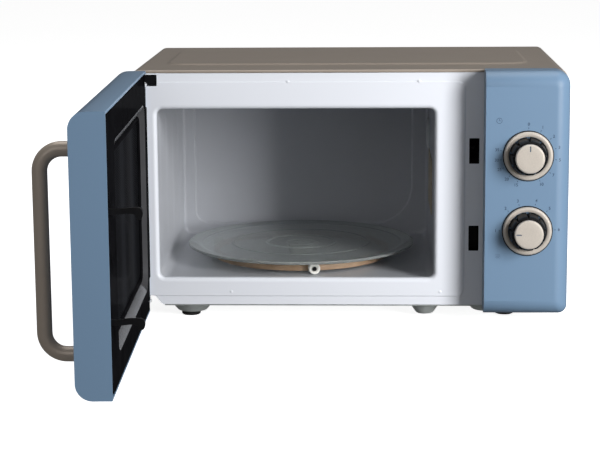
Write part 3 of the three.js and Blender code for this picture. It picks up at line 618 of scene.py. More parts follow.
def black_plastic(name, level, low, high, grain, specular):
    """Black moulded plastic between gloss and spark-eroded matt."""
    paint = Paint(name, specular_ior_level=specular, coat_weight=0.02, coat_roughness=0.1)
    paint.mottle(tone(level, level, level + 2), tone(level + 7, level + 7, level + 9), 40)
    paint.gloss_range(low, high, 90)
    paint.bump(paint.noise(grain, 3, 0.6), 0.12, 0.15)
    return paint.material


def brushed_metal(name, colour, low, high, along, strength=0.1, metallic=1.0):
    """Drawn or brushed metal, its grain stretched along one direction."""
    paint = Paint(name, metallic=metallic)
    grain = paint.noise(1, 4, 0.6, paint.stretched(*along))
    paint.feed("Base Color", paint.blend(grain, shade(colour, 0.86), shade(colour, 1.1)))
    paint.gloss_range(low, high, 1, paint.stretched(*along))
    paint.bump(grain, strength, 0.05)
    return paint.material


def zinc_plate(name, colour, metallic=0.45):
    """Galvanised sheet with its pattern of zinc crystals."""
    paint = Paint(name, metallic=metallic)
    spangle = paint.node("ShaderNodeTexVoronoi", None, {"Vector": paint.place(), "Scale": 130.0}, 0)
    mixed = spangle + paint.noise(30) * 0.3
    paint.feed("Base Color", paint.blend(mixed, shade(colour, 0.82), shade(colour, 1.12)))
    paint.feed("Roughness", spangle * 0.18 + 0.34)
    paint.bump(paint.noise(420, 2), 0.06, 0.1)
    return paint.material


def plain_plastic(name, first, second, low, high):
    """Unpainted moulded plastic: slight shade drift and a fine grain."""
    paint = Paint(name)
    paint.mottle(first, second, 60)
    paint.gloss_range(low, high, 80)
    paint.bump(paint.noise(1100, 2), 0.1, 0.1)
    return paint.material


def soft_rubber(name):
    paint = Paint(name)
    paint.mottle(tone(14, 14, 14), tone(26, 26, 26), 120)
    paint.gloss_range(0.62, 0.8, 150)
    paint.bump(paint.noise(1800, 3), 0.25, 0.15)
    return paint.material


def smoked_glass(name):
    """Dark glass of the door's window."""
    paint = Paint(name, alpha=0.86, coat_weight=0.6, coat_roughness=0.02)
    paint.mottle(tone(10, 11, 13), tone(17, 18, 21), 8)
    paint.gloss_range(0.03, 0.07, 30)
    return paint.material


def screen_film(name):
    """Black film over a punched screen: rows of small holes show as dark dots."""
    paint = Paint(name, specular_ior_level=0.0, coat_weight=0.02, coat_roughness=0.06)
    rows = paint.stretched(450, 450, 450)
    cells = paint.node("ShaderNodeVectorMath", {"operation": "FRACTION"}, {0: rows})
    away = paint.node("ShaderNodeVectorMath", {"operation": "DISTANCE"}, {0: cells, 1: (0.5, 0.5, 0.5)}, 1)
    hole = away < 0.42
    paint.feed("Base Color", paint.blend(hole, tone(30, 31, 34), tone(8, 8, 9)))
    paint.feed("Roughness", paint.noise(60) * 0.1 + hole * 0.12 + 0.1)
    return paint.material


def clear_glass(name, colour):
    """Pressed clear glass."""
    paint = Paint(name, transmission_weight=0.8, ior=1.46)
    paint.mottle(shade(colour, 0.97), colour, 18)
    paint.gloss_range(0.02, 0.07, 70)
    paint.bump(paint.noise(45, 2), 0.05, 0.4)
    return paint.material


def lacquered_wire(name):
    """Enamelled copper windings."""
    paint = Paint(name, metallic=0.8, coat_weight=0.4)
    sockets = {"Vector": paint.place(), "Scale": 330.0, "Distortion": 0.6}
    strand = paint.node("ShaderNodeTexWave", {"bands_direction": "Z"}, sockets, 1)
    paint.feed("Base Color", paint.blend(strand, tone(92, 44, 20), tone(176, 98, 52)))
    paint.gloss_range(0.28, 0.42, 90)
    paint.bump(strand, 0.4, 0.4)
    return paint.material


def mica_sheet(name):
    paint = Paint(name)
    flake = paint.node("ShaderNodeTexVoronoi", None, {"Vector": paint.place(), "Scale": 160.0}, 0)
    paint.feed("Base Color", paint.blend(flake, tone(160, 148, 124), tone(206, 196, 172)))
    paint.feed("Roughness", flake * 0.25 + 0.35)
    paint.bump(flake, 0.15, 0.1)
    return paint.material


def circuit_board(name):
    """Green solder mask with paler copper runs under it."""
    paint = Paint(name, coat_weight=0.3)
    runs = paint.node("ShaderNodeTexBrick", None, {"Vector": paint.stretched(70, 70, 70), "Scale": 3.0}, 1)
    paint.feed("Base Color", paint.blend(runs, tone(22, 72, 46), tone(52, 112, 74)))
    paint.gloss_range(0.3, 0.45, 90)
    paint.bump(runs, 0.2, 0.1)
    return paint.material


def printed_ink(name):
    paint = Paint(name)
    paint.mottle(tone(44, 62, 84), tone(60, 80, 104), 400)
    paint.gloss_range(0.4, 0.55, 200)
    return paint.material


def lamp_lens(name):
    """Frosted lens over the cavity lamp."""
    paint = Paint(name, transmission_weight=0.3)
    paint.mottle(tone(214, 220, 220), tone(238, 242, 242), 60)
    paint.gloss_range(0.3, 0.42, 80)
    paint.bump(paint.noise(500, 2), 0.15, 0.2)
    return paint.material


FINISHES = {}
PLATING_GRAIN = (200, 200, 900)


def mix_finishes(colours):
    """Makes every finish once, under its slot's name."""
    cabinet, face, enamel, trim = colours.cabinet, colours.face, colours.enamel, colours.trim
    FINISHES.update(
        cabinet_paint=metallic_paint("Taupe Metallic Paint", cabinet),
        # The handle takes the cabinet's paint made 1.8 times lighter: painted light on the handle.
        handle_metal=metallic_paint("Taupe Handle Paint With Painted Light", shade(cabinet, 1.8)),
        door_blue=moulded_gloss("Blue Moulded Gloss", face),
        white_enamel=powder_coat("White Powder Coat", enamel),
        # The cavity takes the white powder coat darkened to 0.62: painted shade inside the cavity.
        cavity=powder_coat("Cavity Enamel With Painted Shade", shade(enamel, 0.62)),
        black_gloss=black_plastic("Black Gloss Plastic", 9, 0.16, 0.24, 900, 0.0),
        # The inner window's bevel is the black gloss moulding painted grey: painted reflection on its slope.
        bevel=black_plastic("Black Gloss Bevel With Painted Reflection", 62, 0.16, 0.24, 900, 0.2),
        black_matte=black_plastic("Black Satin Plastic", 6, 0.4, 0.52, 1600, 0.25),
        door_glass=smoked_glass("Smoked Window Glass"),
        window_film=screen_film("Punched Screen Film"),
        turntable_glass=clear_glass("Pressed Clear Glass", colours.glass),
        champagne=brushed_metal("Satin Champagne Metal", trim, 0.26, 0.36, (900, 40, 900), 0.04, 0.4),
        galvanised=zinc_plate("Galvanised Sheet", tone(172, 175, 178)),
        # The base sheet's zinc is painted paler than the rear sheet's: painted light on the shaded underside.
        base_steel=zinc_plate("Grey Base Steel With Painted Light", tone(196, 202, 200)),
        bright_metal=brushed_metal("Bright Plated Metal", tone(214, 216, 218), 0.16, 0.3, PLATING_GRAIN),
        pin_metal=brushed_metal(
            "Satin Plated Metal", tone(228, 231, 235), 0.3, 0.4, PLATING_GRAIN, 0.1, 0.25,
        ),
        dark_steel=brushed_metal("Dark Laminated Steel", tone(84, 88, 90), 0.35, 0.5, (90, 2200, 90)),
        rubber=soft_rubber("Black Rubber"),
        white_plastic=plain_plastic("White Plastic", tone(216, 215, 208), tone(233, 232, 226), 0.3, 0.42),
        tan_plastic=plain_plastic(
            "Tan Heatproof Plastic", tone(158, 130, 104), tone(178, 150, 124), 0.35, 0.5,
        ),
        winding=lacquered_wire("Enamelled Copper Windings"),
        mica=mica_sheet("Mica Sheet"),
        board=circuit_board("Green Circuit Board"),
        ink=printed_ink("Dial Print"),
        lens=lamp_lens("Frosted Lamp Lens"),
    )


def kept(nodes, slot, soften=0.3):
    """Gives CAD nodes that stay their finish and softened edges."""
    for node in nodes:
        made = frame["nodes"][node]
        made.data.materials.clear()
        made.data.materials.append(FINISHES[slot])
        soften_edges(made, soften)
        made.data.shade_smooth()
        made.modifiers.new("even shading", "WEIGHTED_NORMAL").keep_sharp = True


# ---------------------------------------------------------------- cabinet


COVER = Span("cabinet_cover")
REAR = Span("rear_panel")
BASE = Span("base_plate")
PLATE = Span("front_plate")
LINER = Span("cavity_liner")
PANEL = Span("control_panel")
SHELL = Span("door_frame")
SIDES = (COVER.x1 - COVER.x0) / 2
COVER.z1_flat = COVER.z1 - 1.5
COVER_CORNER = 9
VENT_PITCH = 9
COVER_SHEET = 1.2
HEM = 2.8
CAVITY = {
    "x0": LINER.x0 + 1, "x1": LINER.x1 - 1, "z0": LINER.z0 + 1, "z1": LINER.z1 - 1, "y1": LINER.y1 - 1,
}
OPENING = (CAVITY["x0"] + 0.6, 44.3, CAVITY["x1"] - 0.6, 218.6)
OPENING_CORNER = 6


def cover_outline(inset, wall, corner):
    """The wrap's section in X and Z: round the outside and back along the inside."""
    side, top, low = SIDES - inset, COVER.z1_flat - inset, COVER.z0
    outside = [(side, low), *arc(side - corner, top - corner, corner, 0, 1, 8)]
    outside += [*arc(-side + corner, top - corner, corner, 1, 2, 8), (-side, low)]
    inner = max(corner - wall, 0.5)
    side, top = SIDES - wall, COVER.z1_flat - wall
    inside = [(side, low), *arc(side - inner, top - inner, inner, 0, 1, 8)]
    inside += [*arc(-side + inner, top - inner, inner, 1, 2, 8), (-side, low)]
    return outside + inside[::-1]


def raised_field(x0, y0, x1, y1, corner, low, rise, slope):
    """A pressed field with soft shoulders, to be joined to the top sheet."""
    rings = [lying(rounded(x0 - slope, y0 - slope, x1 + slope, y1 + slope, corner + slope), low - 0.6)]
    for share in (0, 0.16, 0.5, 0.84, 1):
        out = slope * (1 - share)
        height = low + rise * (share * share * (3 - 2 * share))
        rings.append(lying(rounded(x0 - out, y0 - out, x1 + out, y1 + out, corner + out), height))
    return skin(rings)


def vent_slot(side, y, z, length=36, height=3):
    """A slot with round ends through one side of the cover."""
    outline = rounded(y, z, y + length, z + height, height / 2 - 0.01, 4)
    return plank(outline, *sorted((side * (SIDES - 4), side * (SIDES + 4))))


def build_wrap():
    hem = [
        (0, 1.3, HEM - 0.3), (0.3, 0.75, HEM - 0.1), (0.8, 0.3, HEM), (1.4, 0.05, HEM), (1.9, 0, HEM),
        (3, 0, HEM), (3.8, 0, COVER_SHEET),
    ]
    rings = [facing(cover_outline(inset, wall, COVER_CORNER - inset), y) for y, inset, wall in hem]
    rings.append(facing(cover_outline(0, COVER_SHEET, COVER_CORNER), COVER.y1))
    field = raised_field(-186, 57, 182, 219, 18, COVER.z1_flat, 1.5, 5)
    slots = [vent_slot(1, y, 70 + VENT_PITCH * r) for y in (150, 194) for r in range(8)]
    slots += [vent_slot(-1, 196, 150 + VENT_PITCH * r) for r in range(6)]
    wrap = cut(joined(skin(rings), field), *slots)
    piece("cover_wrap", wrap, "cabinet", "cabinet_paint", ["cabinet_cover"], 0.25)


def build_rear_panel():
    """Rear sheet with a pressed border, rows of vents, its screws and the hole for the cord's gland."""
    front, back = REAR.y0, REAR.y1
    outer = (REAR.x0, REAR.z0, REAR.x1, REAR.z1)
    sheet = skin([framed(outer, 0, 9, y) for y in (front, back)])
    border = skin([framed(outer, 5, 9, y) for y in (back - 0.5, back + 2)])
    field = skin([framed(outer, -16, 10, back - 1), framed(outer, -17.5, 8.5, back + 3)])
    step = cut(border, field)
    tools = [rod(6.8, front - 2, back + 2, "Y", (GLAND.x, 0, GLAND.z), 32)]
    rows = [(x, 112 + VENT_PITCH * r, 27) for x in (104, 138, 172) for r in range(8)]
    rows += [(-190, 172 + VENT_PITCH * r, 40) for r in range(5)]
    tools += [slab(rounded(x, z, x + w, z + 3.2, 1.55, 4), front - 2, back + 2) for x, z, w in rows]
    sheet = cut(sheet, step, *tools)
    piece("rear_sheet", sheet, "cabinet", "galvanised", ["rear_panel"], 0.15)
    spots = [(x, z) for x in (-208, 0, 208) for z in (REAR.z0 + 7, REAR.z1 - 7)] + [(-208, 130), (208, 130)]
    screws = [screw_head(x, back - 0.5, z, "Y", 3.2) for x, z in spots]
    piece("rear_screws", together(*screws), "cabinet", "bright_metal", (), 0.08)


GLAND = Span("cord_gland")


def build_gland():
    """The inlet bush that the mains lead would pass through, ribbed so that a hand can turn it."""
    neck, flange = GLAND.y0, REAR.y1 + 0.3
    profile = [
        (3.6, neck), (6.2, neck), (6.4, neck + 0.4), (6.4, flange), (9, flange), (9, flange + 2.4),
        (8.5, flange + 3), (6.8, flange + 3.4), (6, GLAND.y1), (4.1, GLAND.y1), (3.6, GLAND.y1 - 0.6),
    ]
    bush = turned(profile, "Y", (GLAND.x, 0, GLAND.z), 40)
    notches = []
    for i in range(12):
        a = i * TURN / 12
        x, z = GLAND.x + 9.3 * math.cos(a), GLAND.z + 9.3 * math.sin(a)
        notches.append(rod(0.9, flange - 1, flange + 4, "Y", (x, 0, z), 10))
    piece("inlet_bush", cut(bush, *notches), "cabinet", "black_matte", ["cord_gland"], 0.15)


FEET = ["foot_front_left", "foot_front_right", "foot_rear_left", "foot_rear_right"]


DOME_SLOPE = ((0, 0), (0.1, 0.03), (0.22, 0.15), (0.82, 0.88), (0.93, 0.97), (1, 1))


def dome(x, y, top, bottom, low, wide=0.0):
    """A pressed hollow under the base; wide stretches it along X."""
    high = BASE.z1 - 0.8
    skins = []
    for wall, lift in ((0, 0), (1, 0.9)):
        rings = [dish(x, y, top - wall, wide, high + 2 * lift)] if wall else []
        for inward, down in DOME_SLOPE:
            radius = top + (bottom - top) * inward - wall
            rings.append(dish(x, y, radius, wide, high + (low - high) * down + lift * down))
        skins.append(skin(rings))
    return cut(*skins)


def dish(x, y, radius, wide, z):
    return lying(rounded(x - radius - wide, y - radius, x + radius + wide, y + radius, radius - 0.05, 8), z)


def build_base():
    """Base sheet with its pressed foot domes and one more dome, a row of slots, a cut corner, and the four
    rubber pads.
    """
    high, low = BASE.z1, BASE.z1 - 1.2
    sheet = column(rounded(BASE.x0, BASE.y0, BASE.x1, BASE.y1, 3), low, high)
    pads = [Span(foot) for foot in FEET]
    stretches = (0, 20, 0, 0)
    shapes = [(pad.x + 1.5, pad.y, 24.5, 14, pad.z1 + 0.3, wide) for pad, wide in zip(pads, stretches)]
    shapes.append((79, 24, 17.5, 8, 3.4, 0))
    holes = []
    for x, y, top, _, _, wide in shapes:
        holes.append(skin([dish(x, y, top - 0.9, wide, z) for z in (low - 5, high + 5)]))
    holes.append(block(-225, 0, 5, -189.5, 52, 20))
    domes = [dome(*shape) for shape in shapes]
    slots = [column(rounded(x, 210, x + 3.5, 236, 1.7, 4), 10, 20) for x in range(96, 140, 9)]
    base = joined(cut(sheet, *holes, *slots), *domes)
    # The base's pale zinc colour is painted light.
    piece("base_pressing", base, "cabinet", "base_steel", ["base_plate"], 0.12)
    for foot, pad in zip(FEET, pads):
        profile = [
            (0, 0.5), (4.2, 0.5), (4.8, 0), (8.4, 0), (9.3, 0.5), (9.8, 1.4), (9.8, 3.6), (9.2, 4.2),
            (9.2, pad.z1), (0, pad.z1),
        ]
        solid = turned(profile, "Z", (pad.x, pad.y, 0), 40)
        piece(foot + "_pad", solid, "cabinet", "rubber", [foot], 0.2)


# ---------------------------------------------------------------- front plate and cavity


def frame_walk(box, corner, stations):
    """Rings round a rectangle: each station is how far outward and how deep that ring lies."""
    return [framed(box, out, corner + out, depth) for out, depth in stations]


def rolled_lip(radius, flange):
    """The opening's edge, rolled back into the cavity."""
    steps = 10
    roll = []
    for i in range(steps + 1):
        t = i * TURN / 4 / steps
        roll.append((radius * (1 - math.sin(t)), radius * (1 - math.cos(t))))
    wall = 0.55
    under = []
    for i, (out, depth) in enumerate(roll):
        under.append((out + wall * (2 - i / steps), depth + wall * (1 + i / steps)))
    stations = [(radius + 0.4, 0), *roll, (0, flange), (wall, flange), *under[::-1]]
    stations.append((radius + 0.4 + wall, PLATE.y1))
    return skin(frame_walk(OPENING, OPENING_CORNER, stations), wrapped=True)


UPPER_HINGE_WINDOW = (-213.5, 242, -192.6, 253.5)
LOWER_HINGE_BAY = (
    (-201.5, 25.8), (-198.6, 25.2), (-196.2, 22.6), (-193.6, 18.8), (-190.4, 16.2), (-186, 14),
)


def build_plate(sizes):
    """Front plate: raised field, rolled opening, latch slots and hinge cut-outs."""
    lip, emboss = sizes.lip / MM, sizes.emboss / MM
    sheet = slab(rounded(PLATE.x0, PLATE.z0, PLATE.x1, PLATE.z1, (18, 6, 6, 6)), PLATE.y0, PLATE.y1)
    before, behind = -3, 5
    mouth = skin([framed(OPENING, lip, OPENING_CORNER + lip, y) for y in (before, behind)])
    outer = (PLATE.x0 - 5, PLATE.z0 - 5, PLATE.x1 + 5, PLATE.z1 + 5)
    border = skin([framed(outer, 0, 8, y) for y in (before, PLATE.y0 + emboss)])
    inner = (PLATE.x0 + 6, PLATE.z0 + 9.5, HOOKS.x - 10, PLATE.z1 - 9.5)
    field = skin(frame_walk(inner, 7, [(0, -4), (0, PLATE.y0), (2.6, 1 + emboss)]))
    tools = [mouth, cut(border, field)]
    for z in SLOT_HEIGHTS:
        tools.append(slab(rounded(HOOKS.x - 5.1, z - 13, HOOKS.x + 5.1, z + 13, 0.5, 3), before, behind))
    for node in ("timer_knob_cap", "power_knob_cap"):
        knob = Span(node)
        around_knob = rounded(knob.x - 25, knob.z - 25, knob.x + 25, knob.z + 25, 3)
        tools.append(slab(around_knob, before, behind))
    tools.append(slab(rounded(*UPPER_HINGE_WINDOW, 1, 3), before, behind))
    corner = [(-225, 8), (-225, 25.8), *smooth_curve(LOWER_HINGE_BAY, 5), (-186, 8)]
    tools.append(slab(corner[::-1], before, behind))
    plate = joined(cut(sheet, *tools), rolled_lip(lip, LINER.y0 + lip + 2))
    piece("front_pressing", plate, "cabinet", "white_enamel", ["front_plate"], 0.12)
    bump = [(0, -0.5), (1.0, -0.4), (1.7, -0.02), (1.7, 0.1), (0, 0.1)]
    spots = ((72, 246), (94, 30), (-120, 30), (-60, 246))
    dimples = [turned(bump, "Y", (x, 0, z), 20) for x, z in spots]
    piece("plate_weld_dimples", together(*dimples), "cabinet", "white_enamel", (), 0)


HOOKS = Span("latch_hooks")
SLOT_HEIGHTS = (175.4, 85.8)


def cavity_block(front, back, grow):
    """The cavity's hollow as a solid with its back edges rounded, or the same grown by a wall."""
    box = (CAVITY["x0"], CAVITY["z0"], CAVITY["x1"], CAVITY["z1"])
    round_back = 3.5
    stations = [(front, 0), (front + 40, 0), (front + 100, 0), (front + 160, 0)]
    for i in range(7):
        t = i * TURN / 24
        stations.append((back - round_back + round_back * math.sin(t), round_back * (1 - math.cos(t))))
    rings = []
    for y, pull in stations:
        rings.append(framed(box, grow - pull, 9 + grow - pull / 2, y, 10))
    return skin(rings)


def build_cavity(sizes):
    """Cavity liner with a rounded back, pressed back wall, wall ribs, lamp holes and wave port."""
    c = CAVITY
    back = c["y1"]
    front = LINER.y0 + sizes.lip / MM + 1.5
    liner = cut(cavity_block(front, back + 3, 1), cavity_block(front - 2, back, 0))
    inner = (c["x0"] + 13, c["z0"] + 12, c["x1"] - 17, c["z1"] - 12)
    field = skin([
        framed(inner, 0, (16, 46, 16, 16), back - 1, 12),
        framed(inner, 0, (16, 46, 16, 16), back - 0.01, 12),
        framed(inner, -2, (13, 43, 13, 13), back + 2, 12),
    ])
    table = Span("turntable_plate")
    tools = [field, rod(12, c["z0"] - 5, c["z0"] + 5, "Z", (table.x, table.y, 0), 40)]
    tools.append(block(c["x1"] - 1, 112, 104, c["x1"] + 4, 168, 142))
    lamp = Span("cavity_lamp")
    for ring_radius, count in ((0, 1), (5.5, 6), (11, 12)):
        for i in range(count):
            a = i * TURN / count
            centre = (0, lamp.y + ring_radius * math.cos(a), lamp.z + ring_radius * math.sin(a))
            tools.append(rod(1.7, c["x1"] - 2, c["x1"] + 4, "X", centre, 12))
    liner = cut(liner, *tools)
    # The cavity's darker enamel, used here and on the wall ribs, is painted shade.
    piece("cavity_pressing", liner, "cabinet", ("cavity", "white_enamel"), ["cavity_liner"], 0.15)
    ribs = []
    for side, x in ((1, c["x0"]), (-1, c["x1"])):
        for y in (34, 92, 150, 208):
            outline = smooth_curve([(y - 9, 0), (y - 5, 0.5), (y, 0.9), (y + 5, 0.5), (y + 9, 0)], 5)
            if side < 0 and 80 < y < 215:
                continue
            rows = []
            for z, share in ((60, 0), (68, 1), (196, 1), (204, 0)):
                rows.append([(x + side * h * share, v, z) for v, h in outline] + [(x - side * 0.4, y, z)])
            ribs.append(skin(rows))
    piece("cavity_wall_ribs", together(*ribs), "cabinet", ("cavity", "white_enamel"), (), 0)
    rings = []
    for r, h in ((15, 0), (15, 0.8), (14, 1.8), (10, 2.8), (5, 3.2)):
        tall = r * 1.15
        outline = rounded(lamp.y - r, lamp.z - tall, lamp.y + r, lamp.z + tall, r * 0.95)
        rings.append(sideways(outline, c["x1"] - h))
    lens = skin(rings)
    piece("lamp_lens", lens, "cabinet", ("lens", "white_plastic"), (), 0.1)


# ---------------------------------------------------------------- door and panel


FACE = {"x0": SHELL.x0, "x1": PANEL.x1, "z0": PANEL.z0, "z1": PANEL.z1, "front": PANEL.y0}
FACE_BOX = (FACE["x0"], FACE["z0"], FACE["x1"], FACE["z1"])
FACE_ROUND = 15
CORE = 2
WALL = 2.5


def pillow(inset, back, steps=16):
    """The whole blue face with its rounded edges, pulled in by inset."""
    radius = FACE_ROUND - inset
    rings = []
    for i in range(steps + 1):
        t = TURN / 4 * (i / steps) ** 1.6
        out = FACE_ROUND - radius * math.sin(t)
        depth = FACE["front"] + inset + radius * (1 - math.cos(t))
        tight, wide = (CORE + (FACE_ROUND - out) * share for share in (0.45, 0.85))
        corner = (tight, tight, wide, wide)
        rings.append(framed(FACE_BOX, -out, corner, depth, 10))
    rings.append(facing([(x, z) for x, _, z in rings[-1]], back))
    return skin(rings)


def build_door_shell():
    """Blue door shell: rounded face, window mouth, hinge-side rail and the notches for the hinge arms."""
    back = SHELL.y1
    free = SHELL.x1
    outer = common(pillow(0, back), block(-300, -60, 0, free, 10, 300))
    pocket = common(pillow(WALL, back + 1), block(-300, -60, 0, free - WALL, 10, 300))
    shell = cut(outer, pocket)
    inside = FACE["x0"] + WALL + 0.1
    hinge_x, hinge_y = HINGE.x, HINGE.y
    rail = back - 1
    inner = [
        block(inside, -14, FACE["z0"] + 3, hinge_x + 0.3, rail, FACE["z1"] - 3),
        block(inside, -16, FACE["z1"] - 36, -197, rail, FACE["z1"] - 2.6),
        block(inside, -16, FACE["z0"] + 2.6, -197, rail, FACE["z0"] + 33),
        block(HOOKS.x - 5, FACE["front"] + 2.6, SPRING.z1 + 0.3, free - 2.6, -12, SPRING.z1 + 2.4),
    ]
    glass = Span("door_glass")
    pane_box = (glass.x0, glass.z0, glass.x1, glass.z1)
    window = skin([
        framed(pane_box, -8.4, 15.6, FACE["front"] - 2, 10),
        framed(pane_box, -8.4, 15.6, FACE["front"], 10),
        framed(pane_box, -10, 14, FACE["front"] + 1.6, 10),
        framed(pane_box, -10, 14, -20, 10),
    ])
    swing = rod(7.6, -10, 300, "Z", (hinge_x + 0.1, hinge_y, 0), 40)
    corner = cut(block(-230, hinge_y, -10, hinge_x, 10, 300), swing)
    notches = [
        block(FACE["x0"] - 9, hinge_y - 6.4, ARM_LEVEL - 1, hinge_x + 7.2, 2, 255),
        block(FACE["x0"] - 9, hinge_y - 6.4, 12, hinge_x + 7.2, 2, 22.2),
    ]
    sockets = [
        rod(2.9, 236, 246, "Z", (hinge_x, hinge_y, 0)),
        rod(2.9, 18, 34.2, "Z", (hinge_x, hinge_y, 0)),
    ]
    tools = [corner, *notches, *sockets]
    shell = cut(shell, window, *(tool.copy() for tool in tools))
    rails = cut(joined(*inner), *tools)
    piece("door_inner_rails", rails, "door", "black_matte", (), 0.2)
    piece("door_shell", shell, "door", "door_blue", ["door_frame"], 0.8, 3, 40)
    pane = skin([framed(pane_box, 0, 12, y) for y in (glass.y0 + 0.2, glass.y1)])
    piece("window_pane", pane, "door", "door_glass", ["door_glass"], 0.3)


ARM_LEVEL = 242.6
INNER_WINDOW = (-180, 50, 70, 217)
HINGE = drawn(joint("door_hinge")["pos_m"])
SPRING = Span("latch_spring")


def build_door_lining():
    """Black inner cover with its bevelled recess and inner step, the film and the choke frame."""
    cover = Span("choke_cover")
    film = Span("window_film")
    choke = Span("choke_frame")
    front, back = cover.y0, cover.y1
    full_left = FACE["x0"] + 2.85
    plate = slab(rounded(full_left, cover.z0, cover.x1, cover.z1, 12), front, back)
    slope, depth = 11, 6.8
    recess = skin([
        framed(INNER_WINDOW, slope + 2, 13, back + 2),
        framed(INNER_WINDOW, slope, 12, back),
        framed(INNER_WINDOW, slope - 0.6, 11.6, back - 0.5),
        framed(INNER_WINDOW, 0, 7, back - depth),
        framed(INNER_WINDOW, 0, 7, front - 4),
    ])
    slots = [slab(rounded(HOOKS.x - 3.6, z, HOOKS.x + 3.6, z + 14, 1, 3), -20, 4) for z in (170, 74.5)]
    hinge_side = [
        block(full_left - 9, -17, cover.z1 - 34.2, -196, 4, cover.z1 + 9),
        block(full_left - 9, -17, 0, -196, 4, cover.z0 + 31.2),
        block(full_left - 9, -20, cover.z0 + 31, cover.x0, 4, cover.z1 - 34),
    ]
    lining = cut(plate, recess, *slots, *hinge_side)
    piece("inner_cover", lining, "door", "black_gloss", ["choke_cover"], 0.35)
    foot = back - depth
    stations = [
        (slope - 0.6, back - 0.52), (slope - 1, back - 0.5), (slope - 1, back - 0.6), (0.4, foot + 0.25),
        (0, foot + 0.3), (0, foot - 0.3), (slope - 0.6, back - 1.2),
    ]
    bevel = skin(frame_walk(INNER_WINDOW, 7, stations), wrapped=True)
    # The bevel's grey is painted reflection on the black moulding.
    piece("inner_window_bevel", bevel, "door", ("bevel", "black_gloss"), (), 0.05)
    stations = [(-0.1, -8.7), (-0.1, -7.2), (-1.4, -6.6), (-4, -6.9), (-5, -8.7)]
    ledge = skin(frame_walk(INNER_WINDOW, 10, stations), wrapped=True)
    piece("inner_window_ledge", ledge, "door", "black_gloss", (), 0.15)
    sheet = slab(rounded(film.x0, film.z0, film.x1, film.z1, 4), film.y0, film.y1)
    piece("window_screen", sheet, "door", "window_film", ["window_film"], 0.1)
    tray_box = (choke.x0, choke.z0, choke.x1, choke.z1)
    tray = cut(
        skin([framed(tray_box, 0, 5, y) for y in (choke.y0, choke.y1)]),
        skin([framed(tray_box, -1.2, 4, y) for y in (choke.y0 - 1, choke.y1 - 1.2)]),
    )
    piece("choke_tray", tray, "door", "galvanised", ["choke_frame"], 0.2)


def build_handle():
    """Bent round bar, running straight for a short way where it meets the door."""
    bar = Span("door_handle")
    radius = (bar.x1 - bar.x0) / 2
    out, face = bar.y0 + radius, bar.y1
    low, high = bar.z0 + radius, bar.z1 - radius
    bend = 19
    path = [(face, low), (face - 4, low)]
    path += [(u, v) for u, v in arc(out + bend, low + bend, bend, 3, 2, 14)]
    path += [(out, low + bend + (high - low - 2 * bend) * i / 8) for i in range(1, 8)]
    path += [(u, v) for u, v in arc(out + bend, high - bend, bend, 2, 1, 14)]
    path += [(face - 4, high), (face, high)]
    solid = tube([(bar.x, u, v) for u, v in path], radius, 32)
    # The handle's paler paint is painted light.
    piece("handle_bar", solid, "door", "handle_metal", ["door_handle"], 0.3)


# ---------------------------------------------------------------- latch and hinges


def hook_outline(arm, drop):
    """Side view of a hook: a slim arm that rises a little and turns down at its tip."""
    low = [(-15, 0), (0, 0), (7, 0.3), (13, 0.9), (18.4, 0.4), (20.4, -1.6), (20.8, drop + 1)]
    tip = [(22.2, drop), (24.8, drop + 0.8), (25.9, 0), (25.6, 3.4), (23.4, 5.6)]
    top = [(19, 6), (12, 5.6), (5, 5), (-4, 5), (-15, 5)]
    return [(u, v + arm) for u, v in smooth_curve([*low, *tip, *top], 4)]


def build_latch(sizes):
    """Latch bar with its two hooks, and the coil spring that returns it."""
    x0, x1 = HOOKS.x0, HOOKS.x1
    bar = plank(rounded(-22, 64, -14, HOOKS.z1, 2), x0, x1)
    hooks = [plank(hook_outline(arm, drop), x0, x1) for arm, drop in ((172, -4.6), (77.5, -3.8))]
    piece("latch_bar_and_hooks", joined(bar, *hooks), "latch", "black_matte", ["latch_hooks"], 0.45)
    turns, wire = sizes.spring_turns, 0.45
    radius = (SPRING.x1 - SPRING.x0) / 2 - wire
    steps = turns * 18
    path = []
    for i in range(steps + 1):
        a = i * TURN / 18
        rise = SPRING.z0 + wire + (SPRING.z1 - SPRING.z0 - 2 * wire) * i / steps
        path.append((SPRING.x + radius * math.cos(a), SPRING.y + radius * math.sin(a), rise))
    coil = piece("latch_coil", tube(path, wire, 8), "door", "bright_metal", ["latch_spring"], 0)
    travel = joint("latch_slide")["range_m"][1]
    keep = 1 - travel / ((SPRING.z1 - SPRING.z0) * MM)
    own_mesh(coil)


def build_hinge(name, node, arm_low, tab_low, pin_low, pin_high, strap=None):
    """Hinge: a leaf behind the plate, an arm with a round end, its pin, and a rivet or a strap."""
    tab_front = Span(node).y1 - 2
    x, y = HINGE.x, HINGE.y
    tab = slab(rounded(-214.5, tab_low, -190.4, tab_low + 9, 1.5, 4), tab_front, tab_front + 2)
    outline = [
        (x + 6.4, tab_front + 1.2), (x - 4, tab_front + 1.2), *arc(x, y, 4, 2, 4, 14), (x + 4, y + 1.5),
        (x + 5.8, y + 3), (x + 6.4, y + 5),
    ]
    pin = [
        (0, pin_low), (1.9, pin_low), (2.5, pin_low + 0.6),
        (2.5, pin_high - 0.6), (1.9, pin_high), (0, pin_high),
    ]
    parts = [turned(pin, "Z", (x, y, 0), 24)]
    if strap:
        parts.append(block(x + 1.7, tab_front, strap[0], x + 5.4, tab_front + 2, strap[1]))
    else:
        top = arm_low + 2
        rivet = [(0, top - 0.5), (1.5, top - 0.5), (1.5, top + 1.4), (1.1, top + 2.1), (0, top + 2.4)]
        parts.append(turned(rivet, "Z", (x + 4, y + 5.4, 0), 24))
    arm = joined(column(outline, arm_low, arm_low + 2), *parts)
    piece(name + "_leaf", tab, "cabinet", "black_matte", (), 0.2)
    piece(name, arm, "cabinet", ("pin_metal", "bright_metal"), [node], 0.2)


# ---------------------------------------------------------------- control panel and dials


